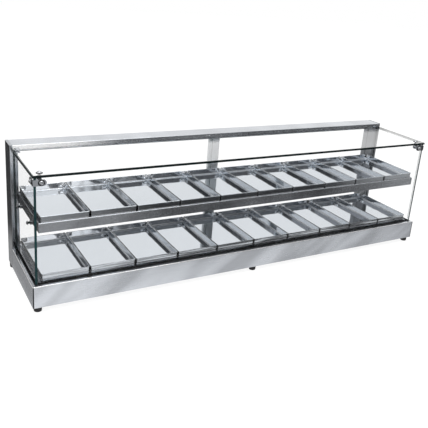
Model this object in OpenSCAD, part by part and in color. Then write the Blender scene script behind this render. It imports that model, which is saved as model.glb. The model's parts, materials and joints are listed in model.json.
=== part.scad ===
// Two-tier countertop hot food display case: a steel base with a heated deck,
// a glass box held by corner clamps, a heated shelf and two rows of pans.
// Millimetres, +Z up, front towards -Y, origin under the middle of the footprint.

/* [Pans] */
// Outside width of one pan over its rolled edge
pan_w = 176; // [150:1:200]
// Outside depth of one pan, front to rear
pan_d = 325; // [260:1:360]
// Height of a pan from deck to rim
pan_h = 26; // [20:1:44]
// Sheet thickness of a pan
pan_sheet = 0.8; // [0.6:0.1:1.5]
// Diameter of the rolled edge round a pan
pan_bead = 3.2; // [2.6:0.1:5]
// Radius of a pan's floor at its corners
pan_corner_r = 1.5; // [0.5:0.25:15]
// Inside radius between a pan's floor and walls
pan_fold_r = 1.5; // [1:0.25:4]
// Gap between neighbouring pans
pan_gap = 1; // [0.5:0.1:4]
// Gap between the pan row and the walls round it
pan_side_gap = 2; // [1:0.25:5]

/* [Base] */
// Height of the rubber feet
foot_h = 21; // [10:1:30]
// Diameter of the rubber feet at the top
foot_d = 30; // [24:1:36]
// Distance from the front and side faces to a front foot's centre
foot_inset = 21; // [18:1:40]
// Height of the base box
base_h = 83; // [76:1:140]
// Thickness of the steel sheet
sheet = 1.2; // [0.8:0.1:2]
// Outside radius of the bends in the folded sheet
bend_r = 3; // [2:0.25:5]
// Width of the folded flanges
flange = 12; // [8:0.5:16]
// Depth of the lower deck's seat below the base rim
deck_drop = 1; // [0.5:0.5:14]
// Height of the lower deck's plate above its seat
deck_rise = 7; // [0:0.5:12]
// Width of the cooling slots
vent_w = 5; // [3:0.5:8]
// Length of the cooling slots
vent_l = 70; // [40:1:120]
// Spacing of the cooling slots
vent_pitch = 16; // [12:1:30]

/* [Frame] */
// Width of an upright along the case
upright_w = 30; // [26:1:44]
// Depth of an upright, front to rear
upright_d = 82; // [74:1:100]
// Wall thickness of the uprights and the top rail
tube_wall = 1.5; // [1:0.1:3]
// Gap between the end pans' well and the uprights
upright_gap = 3.5; // [1:0.25:8]
// Height of the top rail
rail_h = 22; // [16:1:30]
// Height of the rail's top above the top glass
rail_rise = 16; // [10:1:24]
// Thickness of an upright's cheek outside the rail's end
cheek = 11; // [6:0.5:16]
// Width of the centre post
post_w = 52; // [30:1:70]
// Depth of the centre post
post_d = 14; // [8:1:20]
// Place of the centre post along the case
post_x = -25; // [-60:0.5:60]
// Length of the post that overlaps the base's rear wall
post_lap = 60; // [30:1:70]

/* [Glass] */
// Thickness of the glass panes
glass_t = 8; // [6:0.5:10]
// Height of the front and end panes
glass_h = 394; // [340:1:460]
// Distance from the case's front to the front pane
glass_front_inset = 15; // [12:0.5:30]
// Distance from the case's side to an end pane
glass_side_inset = 12; // [10:0.5:14]
// Gap between the front pane and the lower pans
glass_to_pan = 4; // [3:0.25:10]
// Overhang of the top pane past the front and end panes
glass_overhang = 4; // [0:0.5:8]
// Gap between a pane's edge and its neighbour
glass_gap = 0.5; // [0.3:0.1:2]

/* [Corner clamps] */
// Length of a clamp plate's front arm
clamp_front_l = 46; // [42:1:60]
// Length of a clamp plate's side arm
clamp_side_l = 50; // [46:1:70]
// Height of a clamp plate
clamp_plate_h = 22; // [18:1:28]
// Thickness of a clamp plate
clamp_plate_t = 2.5; // [1.5:0.1:4]
// Distance from each pane to the middle of a clamp's ball
clamp_reach = 18; // [15:0.5:20]
// Diameter of a clamp's ball
clamp_ball_d = 19; // [16:0.5:22]
// Diameter of the three clamp arms
clamp_arm_d = 14; // [12:0.5:15]
// Diameter of the clamp screws' shanks
clamp_screw_d = 5; // [4:0.25:6]
// Diameter of the clamp screws' domed heads
clamp_head_d = 18; // [12:0.5:20]
// Height of the clamp screws' domed heads
clamp_head_h = 7; // [4:0.25:8]
// Width of a clip that holds the top pane at the rail
clip_w = 16; // [10:1:20]
// Reach of a clip along the top pane
clip_reach = 12; // [8:0.5:20]
// Wall of a clip above and below the pane
clip_wall = 4; // [2:0.25:6]

/* [Shelf] */
// Clear height between the base rim and the shelf
lower_clear = 188; // [150:1:220]
// Height of the shelf's frame
shelf_h = 36; // [34:1:60]
// Height of the shelf's lip above its deck
shelf_lip = 3; // [2:0.5:8]
// Distance that the upper pans sit behind the lower ones
shelf_setback = 6; // [0:0.5:20]
// Distance of the front shelf bolt behind the shelf's front
shelf_bolt_front = 80; // [40:1:120]
// Distance between the two shelf bolts of one end
shelf_bolt_pitch = 160; // [100:1:180]
// Height of the shelf bolts above the shelf's underside
shelf_bolt_rise = 10; // [8:0.5:16]
// Diameter of the shelf bolts
shelf_bolt_d = 8; // [6:0.5:10]
// Diameter of the shelf bolts' domed heads
shelf_head_d = 15; // [13:0.5:18]
// Height of the shelf bolts' domed heads
shelf_head_h = 6; // [4:0.25:8]
// Outside diameter of the spacers between pane and shelf
spacer_d = 16; // [14:0.5:18]

/* [Heaters] */
// Diameter of the heater tubes
heater_d = 8; // [6:0.5:10]
// Number of straight runs in each heater
heater_runs = 4; // [2:2:4]
// Distance between the heater's runs
heater_pitch = 66; // [40:1:70]
// Distance from the well's end to the heater's bends
heater_end = 80; // [60:1:160]
// Gap between a deck and the heater tube under it
heater_drop = 4; // [3:0.5:8]
// Number of clips along one heater
clip_count = 4; // [2:1:6]
// Size of a heater clip along the tube
heater_clip_l = 14; // [8:1:20]

/* [Controls] */
// Distance of the cable gland, the last control, from the case's right side
control_x = 130; // [80:5:200]
// Distance between neighbouring controls
control_pitch = 90; // [70:1:100]
// Diameter of the thermostat knobs' skirts
knob_d = 44; // [36:1:50]
// Height of a thermostat knob
knob_h = 20; // [16:0.5:23]
// Diameter of the thermostat shafts
shaft_d = 6; // [5:0.25:8]
// Width of the switch's rocker
rocker_w = 14; // [10:0.5:18]
// Radius of the rocker about its pivot
rocker_r = 12; // [9:0.5:14]
// Tilt of the rocker at rest
rocker_tilt = 9; // [6:0.5:12]
// Diameter of the pilot light's lens
lens_d = 12; // [10:0.5:16]
// Bore of the cable gland
gland_bore_d = 10; // [8:0.5:14]

/* [Doors] */
// Thickness of the sliding doors
door_t = 4; // [3:0.25:5]
// Wall of the door tracks
track_wall = 1.6; // [1:0.1:3]
// Depth of the upper track's grooves
track_top_h = 13; // [10:0.5:18]
// Depth of the lower track's grooves
track_low_h = 7; // [5:0.5:9]
// Gap on each side of a door in its groove
door_slip = 0.5; // [0.3:0.1:1.5]
// Gap between the shelf and the front door track
door_clear = 5; // [4:0.2:14]
// Length by which each door passes the post's middle
door_lap = 15; // [10:1:22]
// Diameter of the finger holes in the doors
finger_d = 30; // [24:1:40]
// Distance from a door's outer edge to its finger hole
finger_inset = 60; // [40:1:120]

/* [Clearances] */
// Gap round shafts, screws and other pieces that fit in a hole
fit_gap = 0.3; // [0.2:0.05:0.6]
// Gap between a plate's edge and the walls that it fits between
plate_gap = 0.3; // [0:0.05:0.6]
// Room behind the base's rear wall, where the controls stand
control_room = 27; // [25:0.5:40]
// Gap between the lower track and the base's rear wall
track_back = 2; // [1:0.25:6]

/* [Hidden] */
$fn = 48;
pans_per_tier = 10;
case_sides = [-1, 1];

// Places across the case
pan_pitch = pan_w + pan_gap;
pan_corner_out = pan_bead + pan_fold_r + pan_corner_r;
row_half = (pans_per_tier * pan_pitch - pan_gap) / 2;
well_half = row_half + pan_side_gap;
upright_in = well_half + upright_gap;
case_half = upright_in + upright_w;
rail_half = case_half - cheek;
end_glass_out = case_half - glass_side_inset;
end_glass_in = end_glass_out - glass_t;
shelf_half = upright_in;

// Places from front to rear
track_w = 3 * track_wall + 2 * (door_t + 2 * door_slip);
front_rim = glass_front_inset + glass_t + glass_to_pan;
shelf_rear_run = shelf_setback + pan_side_gap + sheet;
case_d = front_rim + pan_d + shelf_rear_run + door_clear + track_w + track_back + control_room;
case_front = -case_d / 2;
case_rear = case_d / 2;
lower_pan_front = case_front + front_rim;
upper_pan_front = lower_pan_front + shelf_setback;
well_front = lower_pan_front - pan_side_gap;
well_rear = lower_pan_front + pan_d + pan_side_gap;
shelf_front = upper_pan_front - pan_side_gap - sheet;
shelf_rear = upper_pan_front + pan_d + pan_side_gap + sheet;
base_rear = case_rear - control_room;
track_rear = base_rear - track_back;
track_front = track_rear - track_w;
upright_front = case_rear - upright_d;
front_glass_out = case_front + glass_front_inset;
front_glass_in = front_glass_out + glass_t;
top_glass_rear = upright_front - glass_gap;

// Heights
base_top = foot_h + base_h;
deck_seat_z = base_top - deck_drop;
lower_deck_z = deck_seat_z + deck_rise;
shelf_z = base_top + lower_clear;
shelf_top = shelf_z + shelf_h;
upper_deck_z = shelf_top - shelf_lip;
shelf_bend = min(bend_r, pan_side_gap + sheet - fit_gap, shelf_lip);
pane_top = base_top + glass_h;
top_glass_top = pane_top + glass_t;
case_h = top_glass_top + rail_rise;
rail_z = case_h - rail_h;

// Doors: index 0 is the left door in the front groove, index 1 the right door in the rear one
door_edges = [
    [-(upright_in - door_slip), post_x + door_lap],
    [post_x - door_lap, upright_in - door_slip]];
groove_pitch = track_wall + 2 * door_slip + door_t;
door_fronts = [for (i = [0, 1]) track_front + track_wall + door_slip + i * groove_pitch];
door_low = base_top + track_wall + door_slip;
door_high = rail_z - track_top_h / 2;
finger_z = (shelf_z + shelf_top) / 2;
finger_x = [door_edges[0][0] + finger_inset, door_edges[1][1] - finger_inset];
grommet_lip = 4;
grommet_t = 0.8;

// Corner clamps
clamp_x = end_glass_in - clamp_reach;
clamp_y = front_glass_in + clamp_reach;
clamp_z = pane_top - clamp_reach;
clamp_grip = 7;
clamp_hole_d = clamp_screw_d + 2 * fit_gap;
clip_x = end_glass_in - fit_gap - clip_w / 2;

// Controls: thermostat of the lower deck, thermostat of the shelf, switch, pilot light, cable gland
control_z = foot_h + base_h * 0.5;
control_places = [for (i = [0 : 4]) case_half - control_x - (4 - i) * control_pitch];
bush_d = shaft_d + 4;
bush_rise = 2;
shaft_l = knob_h * 0.8;
knob_skirt_h = 6;
knob_edge = 2;
thermostat_size = [46, 40, 42];
switch_box = [rocker_w + 8, 26, 2 * rocker_r + 8];
bezel_lip = 3;
bezel_t = 2;
rocker_slot_w = rocker_w + 2 * fit_gap;
rocker_slot_h = 2 * (rocker_r + fit_gap);
rocker_pivot_y = base_rear - 3;
lens_bezel_d = lens_d + 6;
lens_bezel_h = 3;
lens_body_l = 24;
gland_thread_d = gland_bore_d + 6;
gland_hex = gland_bore_d + 14;

// Terminal block: size of one pole, its step and the rib between poles
terminal_pole = [14, 26, 18];
terminal_poles = 4;
terminal_step = 3;
terminal_rib = 2;
terminal_wire_d = 5;

// Rubber feet
foot_screw_r = 4;
foot_taper = 1;
foot_edge = 1;

// Heaters
heater_reach = well_half - heater_end;
heater_y = [for (i = [0 : heater_runs - 1]) (i - (heater_runs - 1) / 2) * heater_pitch];
lower_heater_mid = lower_pan_front + pan_d / 2;
upper_heater_mid = upper_pan_front + pan_d / 2;
lower_heater_z = lower_deck_z - sheet - heater_drop - heater_d / 2;
upper_heater_z = upper_deck_z - sheet - heater_drop - heater_d / 2;
sleeve_l = 34;
stud_l = 14;

PAN_NODES = [for (tier = ["lower", "upper"], i = [1 : pans_per_tier])
    str("pan_", tier, i < 10 ? "_0" : "_", i)];

// Shared shapes

module box(low, high) {
    translate(low) cube([high[0] - low[0], high[1] - low[1], high[2] - low[2]]);
}

// A rod along +Y from the origin
module rod_y(d, l) {
    rotate([-90, 0, 0]) cylinder(d = d, h = l);
}

// A rod along +X from the origin
module rod_x(d, l) {
    rotate([0, 90, 0]) cylinder(d = d, h = l);
}

// A flat ring of walls: outside box low to high, wall thickness t
module ring_wall(low, high, t) {
    difference() {
        box(low, high);
        box([low[0] + t, low[1] + t, low[2] - 1], [high[0] - t, high[1] - t, high[2] + 1]);
    }
}

// The radius of a bend, measured on a face set in from the outside
function bend_at(inset) = max(bend_r - inset, 0.3);

// A flat outline with rounded corners
module round_rect(low, high, r) {
    translate([low[0] + r, low[1]]) square([high[0] - low[0] - 2 * r, high[1] - low[1]]);
    translate([low[0], low[1] + r]) square([high[0] - low[0], high[1] - low[1] - 2 * r]);
    for (x = [low[0] + r, high[0] - r], y = [low[1] + r, high[1] - r]) translate([x, y]) circle(r = r);
}

// The section of a folded tube: an outline with rounded corners and a wall of tube_wall
module tube_section(low, high) {
    wall = [tube_wall, tube_wall];
    difference() {
        round_rect(low, high, bend_r);
        round_rect(low + wall, high - wall, bend_at(tube_wall));
    }
}

// A screw with a domed head on the plane z = 0 and its shank below
module dome_screw(head_d, head_h, shank_d, shank_l) {
    cap_r = (head_d * head_d / 4 + head_h * head_h) / (2 * head_h);
    intersection() {
        translate([0, 0, head_h - cap_r]) sphere(r = cap_r);
        cylinder(d = head_d, h = head_h);
    }
    translate([0, 0, -shank_l]) cylinder(d = shank_d, h = shank_l + 0.5);
}

// Section of a pan's edge: x = 0 is the axis of a corner, the rolled edge ends at pan_corner_out
module pan_section() {
    wall_in = pan_corner_r + pan_fold_r;
    fold_out = pan_fold_r + pan_sheet;
    translate([wall_in + pan_bead / 2, pan_h - pan_bead / 2]) circle(d = pan_bead, $fn = 24);
    translate([wall_in, fold_out]) square([pan_sheet, pan_h - pan_bead / 2 - fold_out]);
    translate([pan_corner_r, fold_out]) intersection() {
        difference() {
            circle(r = fold_out, $fn = 24);
            circle(r = pan_fold_r, $fn = 24);
        }
        translate([0, -fold_out]) square(fold_out);
    }
    square([pan_corner_r, pan_sheet]);
}

// One pan with a rolled edge, floor on z = 0, middle of its footprint at the origin
module pan() {
    half_x = pan_w / 2 - pan_corner_out;
    half_y = pan_d / 2 - pan_corner_out;
    for (turn = [0, 90, 180, 270]) {
        along = turn % 180 == 0 ? half_y : half_x;
        out = turn % 180 == 0 ? half_x : half_y;
        rotate(turn) {
            translate([out, along, 0]) rotate([90, 0, 0]) linear_extrude(2 * along) pan_section();
            translate([out, along, 0]) rotate_extrude(angle = 90) pan_section();
        }
    }
    translate([-half_x, -half_y, 0]) cube([2 * half_x, 2 * half_y, pan_sheet]);
}

// Pan number i of a tier, counted from the left
module placed_pan(i, front, z) {
    translate([-row_half + pan_w / 2 + i * pan_pitch, front + pan_d / 2, z]) pan();
}

module pan_lower(i) {
    color("gainsboro") placed_pan(i, lower_pan_front, lower_deck_z);
}

module pan_upper(i) {
    color("gainsboro") placed_pan(i, upper_pan_front, upper_deck_z);
}

// Base

// Footprint of the base, stepped in at the rear corners for the uprights
function base_outline(inset) = [
    [-case_half + inset, case_front + inset],
    [case_half - inset, case_front + inset],
    [case_half - inset, upright_front - inset],
    [upright_in - inset, upright_front - inset],
    [upright_in - inset, base_rear - inset],
    [-upright_in + inset, base_rear - inset],
    [-upright_in + inset, upright_front - inset],
    [-case_half + inset, upright_front - inset]];

module base_layer(z, h, inset_out, inset_in) {
    translate([0, 0, z]) linear_extrude(h) difference() {
        polygon(base_outline(inset_out));
        polygon(base_outline(inset_in));
    }
}

// The base as a block set in by inset, its top bent down at the front and the sides,
// stepped in at the rear corners for the uprights
module base_form(inset, low, high) {
    r = bend_at(inset);
    side = case_half - inset;
    front = case_front + inset;
    rear = base_rear - inset;
    difference() {
        intersection() {
            translate([0, rear, 0]) rotate([90, 0, 0]) linear_extrude(rear - front + 1) {
                translate([-side, low]) square([2 * side, high - low - r]);
                translate([-side + r, low]) square([2 * (side - r), high - low]);
                for (x = [-side + r, side - r]) translate([x, high - r]) circle(r = r);
            }
            translate([-side - 1, 0, 0]) rotate([90, 0, 90]) linear_extrude(2 * side + 2) {
                translate([front, low - 1]) square([case_d, high - low + 1 - r]);
                translate([front + r, low - 1]) square([case_d, high - low + 1]);
                translate([front + r, high - r]) circle(r = r);
            }
        }
        for (x = [-case_half - 1, upright_in - inset]) translate([x, upright_front - inset, low - 1])
            cube([upright_w + inset + 1, upright_d, high - low + 2]);
    }
}

module base_shell() {
    well_low = [-well_half - sheet, well_front - sheet, deck_seat_z - flange];
    well_high = [well_half + sheet, well_rear + sheet, base_top - sheet];
    color("silver") difference() {
        union() {
            base_layer(foot_h, sheet, 0, flange);
            ring_wall(well_low, well_high, sheet);
            difference() {
                base_form(0, foot_h, base_top);
                base_form(sheet, foot_h - 1, base_top - sheet);
                box([-well_half, well_front, base_top - flange], [well_half, well_rear, base_top + 1]);
            }
        }
        for (i = [0, 1]) translate([control_places[i], base_rear - flange, control_z])
            rod_y(bush_d + 2 * fit_gap, 2 * flange);
        translate([control_places[2], base_rear, control_z])
            cube([switch_box[0] + 2 * fit_gap, flange, switch_box[2] + 2 * fit_gap], center = true);
        translate([control_places[3], base_rear - flange, control_z])
            rod_y(lens_d + 2 * fit_gap, 2 * flange);
        translate([control_places[4], base_rear - flange, control_z])
            rod_y(gland_thread_d + 2 * fit_gap, 2 * flange);
    }
}

// A field of cooling slots, cut downwards from z, in rows along the case
module vent_field(half_l, mid_y, z, rows) {
    step = vent_l + vent_pitch;
    count = floor(half_l / step);
    for (col = [-count : count], row = [0 : rows - 1])
        translate([col * step, mid_y + (row - (rows - 1) / 2) * vent_pitch, z])
            cube([vent_l, vent_w, 3 * sheet], center = true);
}

module base_bottom_cover() {
    color("darkgray") difference() {
        translate([0, 0, foot_h + sheet]) linear_extrude(sheet) polygon(base_outline(sheet + plate_gap));
        vent_field(heater_reach - flange, lower_heater_mid, foot_h + 1.5 * sheet, 4);
    }
}

// A deck plate with its edge turned down as a skirt
module deck_plate(low, high, z, skirt) {
    difference() {
        box([low[0], low[1], z - skirt], [high[0], high[1], z]);
        box([low[0] + sheet, low[1] + sheet, z - skirt - 1], [high[0] - sheet, high[1] - sheet, z - sheet]);
    }
}

module lower_deck() {
    color("lightgray") deck_plate([-well_half + plate_gap, well_front + plate_gap],
        [well_half - plate_gap, well_rear - plate_gap], lower_deck_z, flange + deck_rise);
}

// Heaters

// A tube bent to and fro in the plane z = 0, with its two terminals at the right-hand end
module heater_tube() {
    for (y = heater_y) translate([-heater_reach, y, 0]) rod_x(heater_d, 2 * heater_reach);
    for (i = [0 : heater_runs - 2]) {
        at_left = i % 2 == 0;
        translate([at_left ? -heater_reach : heater_reach, (heater_y[i] + heater_y[i + 1]) / 2, 0])
            rotate(at_left ? 90 : -90) rotate_extrude(angle = 180)
                translate([heater_pitch / 2, 0]) circle(d = heater_d);
    }
    for (y = [heater_y[0], heater_y[heater_runs - 1]]) translate([heater_reach - 1, y, 0]) {
        rod_x(heater_d + 3, sleeve_l);
        rod_x(heater_d / 2, sleeve_l + stud_l);
    }
}

module lower_heater() {
    color("dimgray") translate([0, lower_heater_mid, lower_heater_z]) heater_tube();
}

module upper_heater() {
    color("dimgray") translate([0, upper_heater_mid, upper_heater_z]) heater_tube();
}

// Saddles that hold one heater's tube up against the deck above it
module heater_saddles(mid_y, z) {
    saddle_w = heater_d + 6;
    step = 2 * (heater_reach - flange) / (clip_count - 1);
    for (i = [0 : clip_count - 1], y = heater_y)
        translate([-heater_reach + flange + i * step, mid_y + y, z]) difference() {
            translate([0, 0, heater_drop / 2])
                cube([heater_clip_l, saddle_w, heater_d + heater_drop], center = true);
            translate([-heater_clip_l, 0, 0]) rod_x(heater_d + fit_gap, 2 * heater_clip_l);
            translate([0, 0, -heater_d / 2])
                cube([2 * heater_clip_l, heater_d / 2, heater_d / 2], center = true);
        }
}

module heater_clips() {
    color("gray") {
        heater_saddles(lower_heater_mid, lower_heater_z);
        heater_saddles(upper_heater_mid, upper_heater_z);
    }
}

// Controls in the base's rear wall

module terminal_block() {
    w = terminal_pole[0];
    d = terminal_pole[1];
    h = terminal_pole[2];
    poles = [0 : terminal_poles - 1];
    low = [control_places[4] - terminal_poles * w, base_rear - 3 * d, foot_h + 2 * sheet];
    color("ivory") translate(low) difference() {
        union() {
            cube([terminal_poles * w, d, h / 2]);
            for (i = poles) translate([i * w + terminal_rib / 2, terminal_step, 0])
                cube([w - terminal_rib, d - 2 * terminal_step, h]);
        }
        for (i = poles) translate([(i + 0.5) * w, -1, h * 0.65]) rod_y(terminal_wire_d, d + 2);
    }
}

// A capillary thermostat: its case behind the wall, its threaded bush and its shaft through it
module thermostat(x) {
    wall_in = base_rear - sheet;
    body = thermostat_size;
    color("dimgray") translate([x, 0, control_z]) {
        translate([-body[0] / 2, wall_in - body[1], -body[2] / 2]) cube(body);
        translate([0, wall_in - 1, 0]) rod_y(bush_d, 1 + sheet + bush_rise);
        translate([0, wall_in - 1, 0]) rod_y(shaft_d, sheet + shaft_l);
    }
}

module lower_thermostat() {
    thermostat(control_places[0]);
}

module upper_thermostat() {
    thermostat(control_places[1]);
}

// A turning knob: skirt, raised grip bar and a blind bore for the shaft
module knob(x) {
    skirt_r = knob_d / 2;
    grip_r = knob_d * 0.36;
    grip_h = knob_h * 0.7;
    bar = [knob_d * 0.2, knob_d * 0.86, knob_h - knob_skirt_h - 1];
    seat = [x, base_rear + bush_rise + fit_gap, control_z];
    color("black") translate(seat) rotate([-90, 0, 0]) difference() {
        union() {
            rotate_extrude() polygon([
                [0, 0], [skirt_r, 0], [skirt_r, knob_skirt_h - knob_edge],
                [skirt_r - knob_edge, knob_skirt_h], [grip_r, knob_skirt_h],
                [grip_r - knob_edge / 2, grip_h], [0, grip_h]]);
            translate([-bar[0] / 2, -bar[1] / 2, knob_skirt_h - 1]) cube(bar);
        }
        translate([0, 0, -1]) cylinder(d = shaft_d + 2 * fit_gap, h = shaft_l + fit_gap);
        translate([0, 0, -1]) cylinder(d = bush_d + 4 * fit_gap, h = 1 + bush_rise);
    }
}

module lower_thermostat_knob() {
    knob(control_places[0]);
}

module upper_thermostat_knob() {
    knob(control_places[1]);
}

module power_switch() {
    color("black") translate([control_places[2], 0, control_z]) difference() {
        union() {
            translate([-switch_box[0] / 2, base_rear - switch_box[1], -switch_box[2] / 2]) cube(switch_box);
            translate([-switch_box[0] / 2 - bezel_lip, base_rear, -switch_box[2] / 2 - bezel_lip])
                cube([switch_box[0] + 2 * bezel_lip, bezel_t, switch_box[2] + 2 * bezel_lip]);
        }
        translate([-rocker_slot_w / 2, rocker_pivot_y - rocker_r - fit_gap, -rocker_slot_h / 2])
            cube([rocker_slot_w, 3 * rocker_r, rocker_slot_h]);
    }
}

// The rocker: a drum sector with two shallow faces that meet over the pivot
module power_switch_rocker() {
    face_rise = bezel_t + 4;
    drop = rocker_r * tan(rocker_tilt);
    color("red") translate([control_places[2], rocker_pivot_y, control_z]) rotate([rocker_tilt, 0, 0])
        rotate([0, -90, 0]) translate([0, 0, -rocker_w / 2]) intersection() {
            cylinder(r = rocker_r, h = rocker_w);
            linear_extrude(rocker_w) polygon([
                [-rocker_r, -rocker_r / 2], [rocker_r, -rocker_r / 2], [rocker_r, face_rise + drop],
                [0, face_rise], [-rocker_r, face_rise + drop]]);
        }
}

module pilot_light() {
    color("orange") translate([control_places[3], base_rear, control_z]) rotate([-90, 0, 0]) {
        translate([0, 0, -lens_body_l]) cylinder(d = lens_d, h = lens_body_l);
        rotate_extrude() polygon([[0, 0], [lens_bezel_d / 2, 0], [lens_bezel_d / 2, lens_bezel_h / 2],
            [lens_d / 2, lens_bezel_h], [0, lens_bezel_h]]);
        intersection() {
            translate([0, 0, 1]) sphere(d = lens_d);
            cylinder(d = lens_d, h = lens_d);
        }
    }
}

// A cable gland: thread and lock nut inside, hexagon and domed cap outside, a clear bore through
module cable_gland() {
    thread_l = 12;
    hex_l = 6;
    cap_l = 14;
    nut_l = 5;
    cap_d = gland_hex - 2;
    color("dimgray") translate([control_places[4], base_rear, control_z]) rotate([-90, 0, 0]) difference() {
        union() {
            translate([0, 0, -thread_l]) cylinder(d = gland_thread_d, h = thread_l + 1);
            translate([0, 0, -sheet - nut_l]) cylinder(d = gland_hex, h = nut_l, $fn = 6);
            cylinder(d = gland_hex, h = hex_l, $fn = 6);
            rotate_extrude() polygon([[0, hex_l - 1], [cap_d / 2, hex_l - 1], [cap_d / 2, hex_l + cap_l - 4],
                [gland_bore_d / 2 + 2, hex_l + cap_l], [0, hex_l + cap_l]]);
        }
        translate([0, 0, -thread_l - 1]) cylinder(d = gland_bore_d, h = thread_l + hex_l + cap_l + 2);
    }
}

// Rubber feet: three along the front, one under each upright and one at the middle of the rear
module rubber_feet() {
    front = case_front + foot_inset;
    side = case_half - foot_inset;
    under_upright = case_half - upright_w / 2;
    rear = case_rear - foot_inset;
    foot_r = foot_d / 2;
    places = [[-side, front], [0, front], [side, front],
        [-under_upright, rear], [0, base_rear - foot_inset], [under_upright, rear]];
    color("black") for (place = places) translate([place[0], place[1], 0]) rotate_extrude() polygon([
        [foot_screw_r, foot_h / 2], [foot_screw_r, 0], [foot_r - foot_taper - foot_edge, 0],
        [foot_r - foot_taper, foot_edge], [foot_r, foot_h], [0, foot_h], [0, foot_h / 2]]);
}

// Rear frame

// An upright of folded sheet, closed below and notched at the top for the rail; side is -1 or 1
module upright(side) {
    color("silver") difference() {
        upright_block(side, 0, foot_h, case_h);
        upright_block(side, tube_wall, foot_h + tube_wall, case_h - tube_wall);
        translate([side > 0 ? upright_in - 1 : -rail_half, upright_front - 1, rail_z])
            cube([rail_half - upright_in + 1, upright_d + 2, rail_h + 1]);
    }
}

module upright_block(side, inset, low, high) {
    x = side > 0 ? upright_in : -case_half;
    translate([0, 0, low]) linear_extrude(high - low) round_rect([x + inset, upright_front + inset],
        [x + upright_w - inset, case_rear - inset], bend_at(inset));
}

module left_upright() {
    upright(-1);
}

module right_upright() {
    upright(1);
}

// A channel behind the doors, lapped onto the base's rear wall and held under the rail
module centre_post() {
    low = [post_x - post_w / 2, base_rear];
    high = [post_x + post_w / 2, base_rear + 2 * post_d];
    foot = base_top - post_lap;
    color("silver") translate([0, 0, foot]) linear_extrude(rail_z - foot) intersection() {
        tube_section(low, high);
        translate(low) square([post_w, post_d]);
    }
}

module top_rail() {
    color("silver") translate([-rail_half, 0, 0]) rotate([90, 0, 90]) linear_extrude(2 * rail_half)
        tube_section([upright_front, rail_z], [case_rear, case_h]);
}

// A length of door track with two grooves that open upwards from its floor
module track(h) {
    groove = door_t + 2 * door_slip;
    difference() {
        box([-upright_in, 0, 0], [upright_in, track_w, h]);
        for (i = [0, 1]) translate([-upright_in - 1, track_wall + i * (groove + track_wall), track_wall])
            cube([2 * upright_in + 2, groove, h]);
    }
}

module upper_door_track() {
    color("darkgray") translate([0, track_front, rail_z]) mirror([0, 0, 1]) track(track_top_h);
}

module lower_door_track() {
    color("darkgray") translate([0, track_front, base_top]) track(track_low_h);
}

// Glass

module top_glass() {
    front = front_glass_out - glass_overhang;
    half = end_glass_out + glass_overhang;
    color("lightcyan", 0.4) difference() {
        box([-half, front, pane_top], [half, top_glass_rear, top_glass_top]);
        for (side = case_sides) translate([side * clamp_x, clamp_y, pane_top - 1])
            cylinder(d = clamp_hole_d, h = glass_t + 2);
    }
}

module front_glass() {
    half = end_glass_in - glass_gap;
    color("lightcyan", 0.4) difference() {
        box([-half, front_glass_out, base_top], [half, front_glass_in, pane_top]);
        for (side = case_sides) translate([side * clamp_x, front_glass_out - 1, clamp_z])
            rod_y(clamp_hole_d, glass_t + 2);
    }
}

// Places of the shelf bolts in an end pane, as [y, z]
shelf_bolts_yz = [for (i = [0, 1])
    [shelf_front + shelf_bolt_front + i * shelf_bolt_pitch, shelf_z + shelf_bolt_rise]];

module end_glass(side) {
    inner = side > 0 ? end_glass_in : -end_glass_out;
    color("lightcyan", 0.4) difference() {
        box([inner, front_glass_out, base_top], [inner + glass_t, upright_front - glass_gap, pane_top]);
        translate([inner - 1, clamp_y, clamp_z]) rod_x(clamp_hole_d, glass_t + 2);
        for (place = shelf_bolts_yz) translate([inner - 1, place[0], place[1]])
            rod_x(shelf_bolt_d + 2 * fit_gap, glass_t + 2);
    }
}

module left_end_glass() {
    end_glass(-1);
}

module right_end_glass() {
    end_glass(1);
}

// Corner clamps

// A plate folded round the outside of a top front corner, one arm on the front pane, one on the end pane
module clamp_plate() {
    out_x = end_glass_out + clamp_plate_t;
    out_y = front_glass_out - clamp_plate_t;
    round_r = clamp_plate_h / 2;
    low_z = clamp_z - round_r;
    high_z = clamp_z + round_r;
    front_end = out_x - clamp_front_l + round_r;
    side_end = out_y + clamp_side_l - round_r;
    difference() {
        union() {
            translate([front_end, out_y, clamp_z]) rod_y(clamp_plate_h, clamp_plate_t);
            box([front_end, out_y, low_z], [out_x, front_glass_out, high_z]);
            box([end_glass_out, out_y, low_z], [out_x, side_end, high_z]);
            translate([end_glass_out, side_end, clamp_z]) rod_x(clamp_plate_h, clamp_plate_t);
        }
        translate([clamp_x, out_y - 1, clamp_z]) rod_y(clamp_hole_d, clamp_plate_t + 2);
        translate([end_glass_out - 1, clamp_y, clamp_z]) rod_x(clamp_hole_d, clamp_plate_t + 2);
    }
}

module left_corner_clamp() {
    color("gainsboro") mirror([1, 0, 0]) clamp_plate();
}

module right_corner_clamp() {
    color("gainsboro") clamp_plate();
}

// A ball inside the corner with three tapped arms, one to each pane
module clamp_arms() {
    tap_d = clamp_screw_d + fit_gap;
    translate([clamp_x, clamp_y, clamp_z]) difference() {
        union() {
            sphere(d = clamp_ball_d);
            cylinder(d = clamp_arm_d, h = clamp_reach);
            rod_x(clamp_arm_d, clamp_reach);
            rotate([90, 0, 0]) cylinder(d = clamp_arm_d, h = clamp_reach);
        }
        translate([0, 0, clamp_reach - clamp_grip]) cylinder(d = tap_d, h = clamp_reach);
        translate([clamp_reach - clamp_grip, 0, 0]) rod_x(tap_d, clamp_reach);
        translate([0, clamp_grip - clamp_reach, 0]) rotate([90, 0, 0]) cylinder(d = tap_d, h = clamp_reach);
    }
}

module corner_clamp_arms() {
    color("gainsboro") {
        clamp_arms();
        mirror([1, 0, 0]) clamp_arms();
    }
}

module clamp_screw(shank_l) {
    dome_screw(clamp_head_d, clamp_head_h, clamp_screw_d, shank_l);
}

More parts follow.
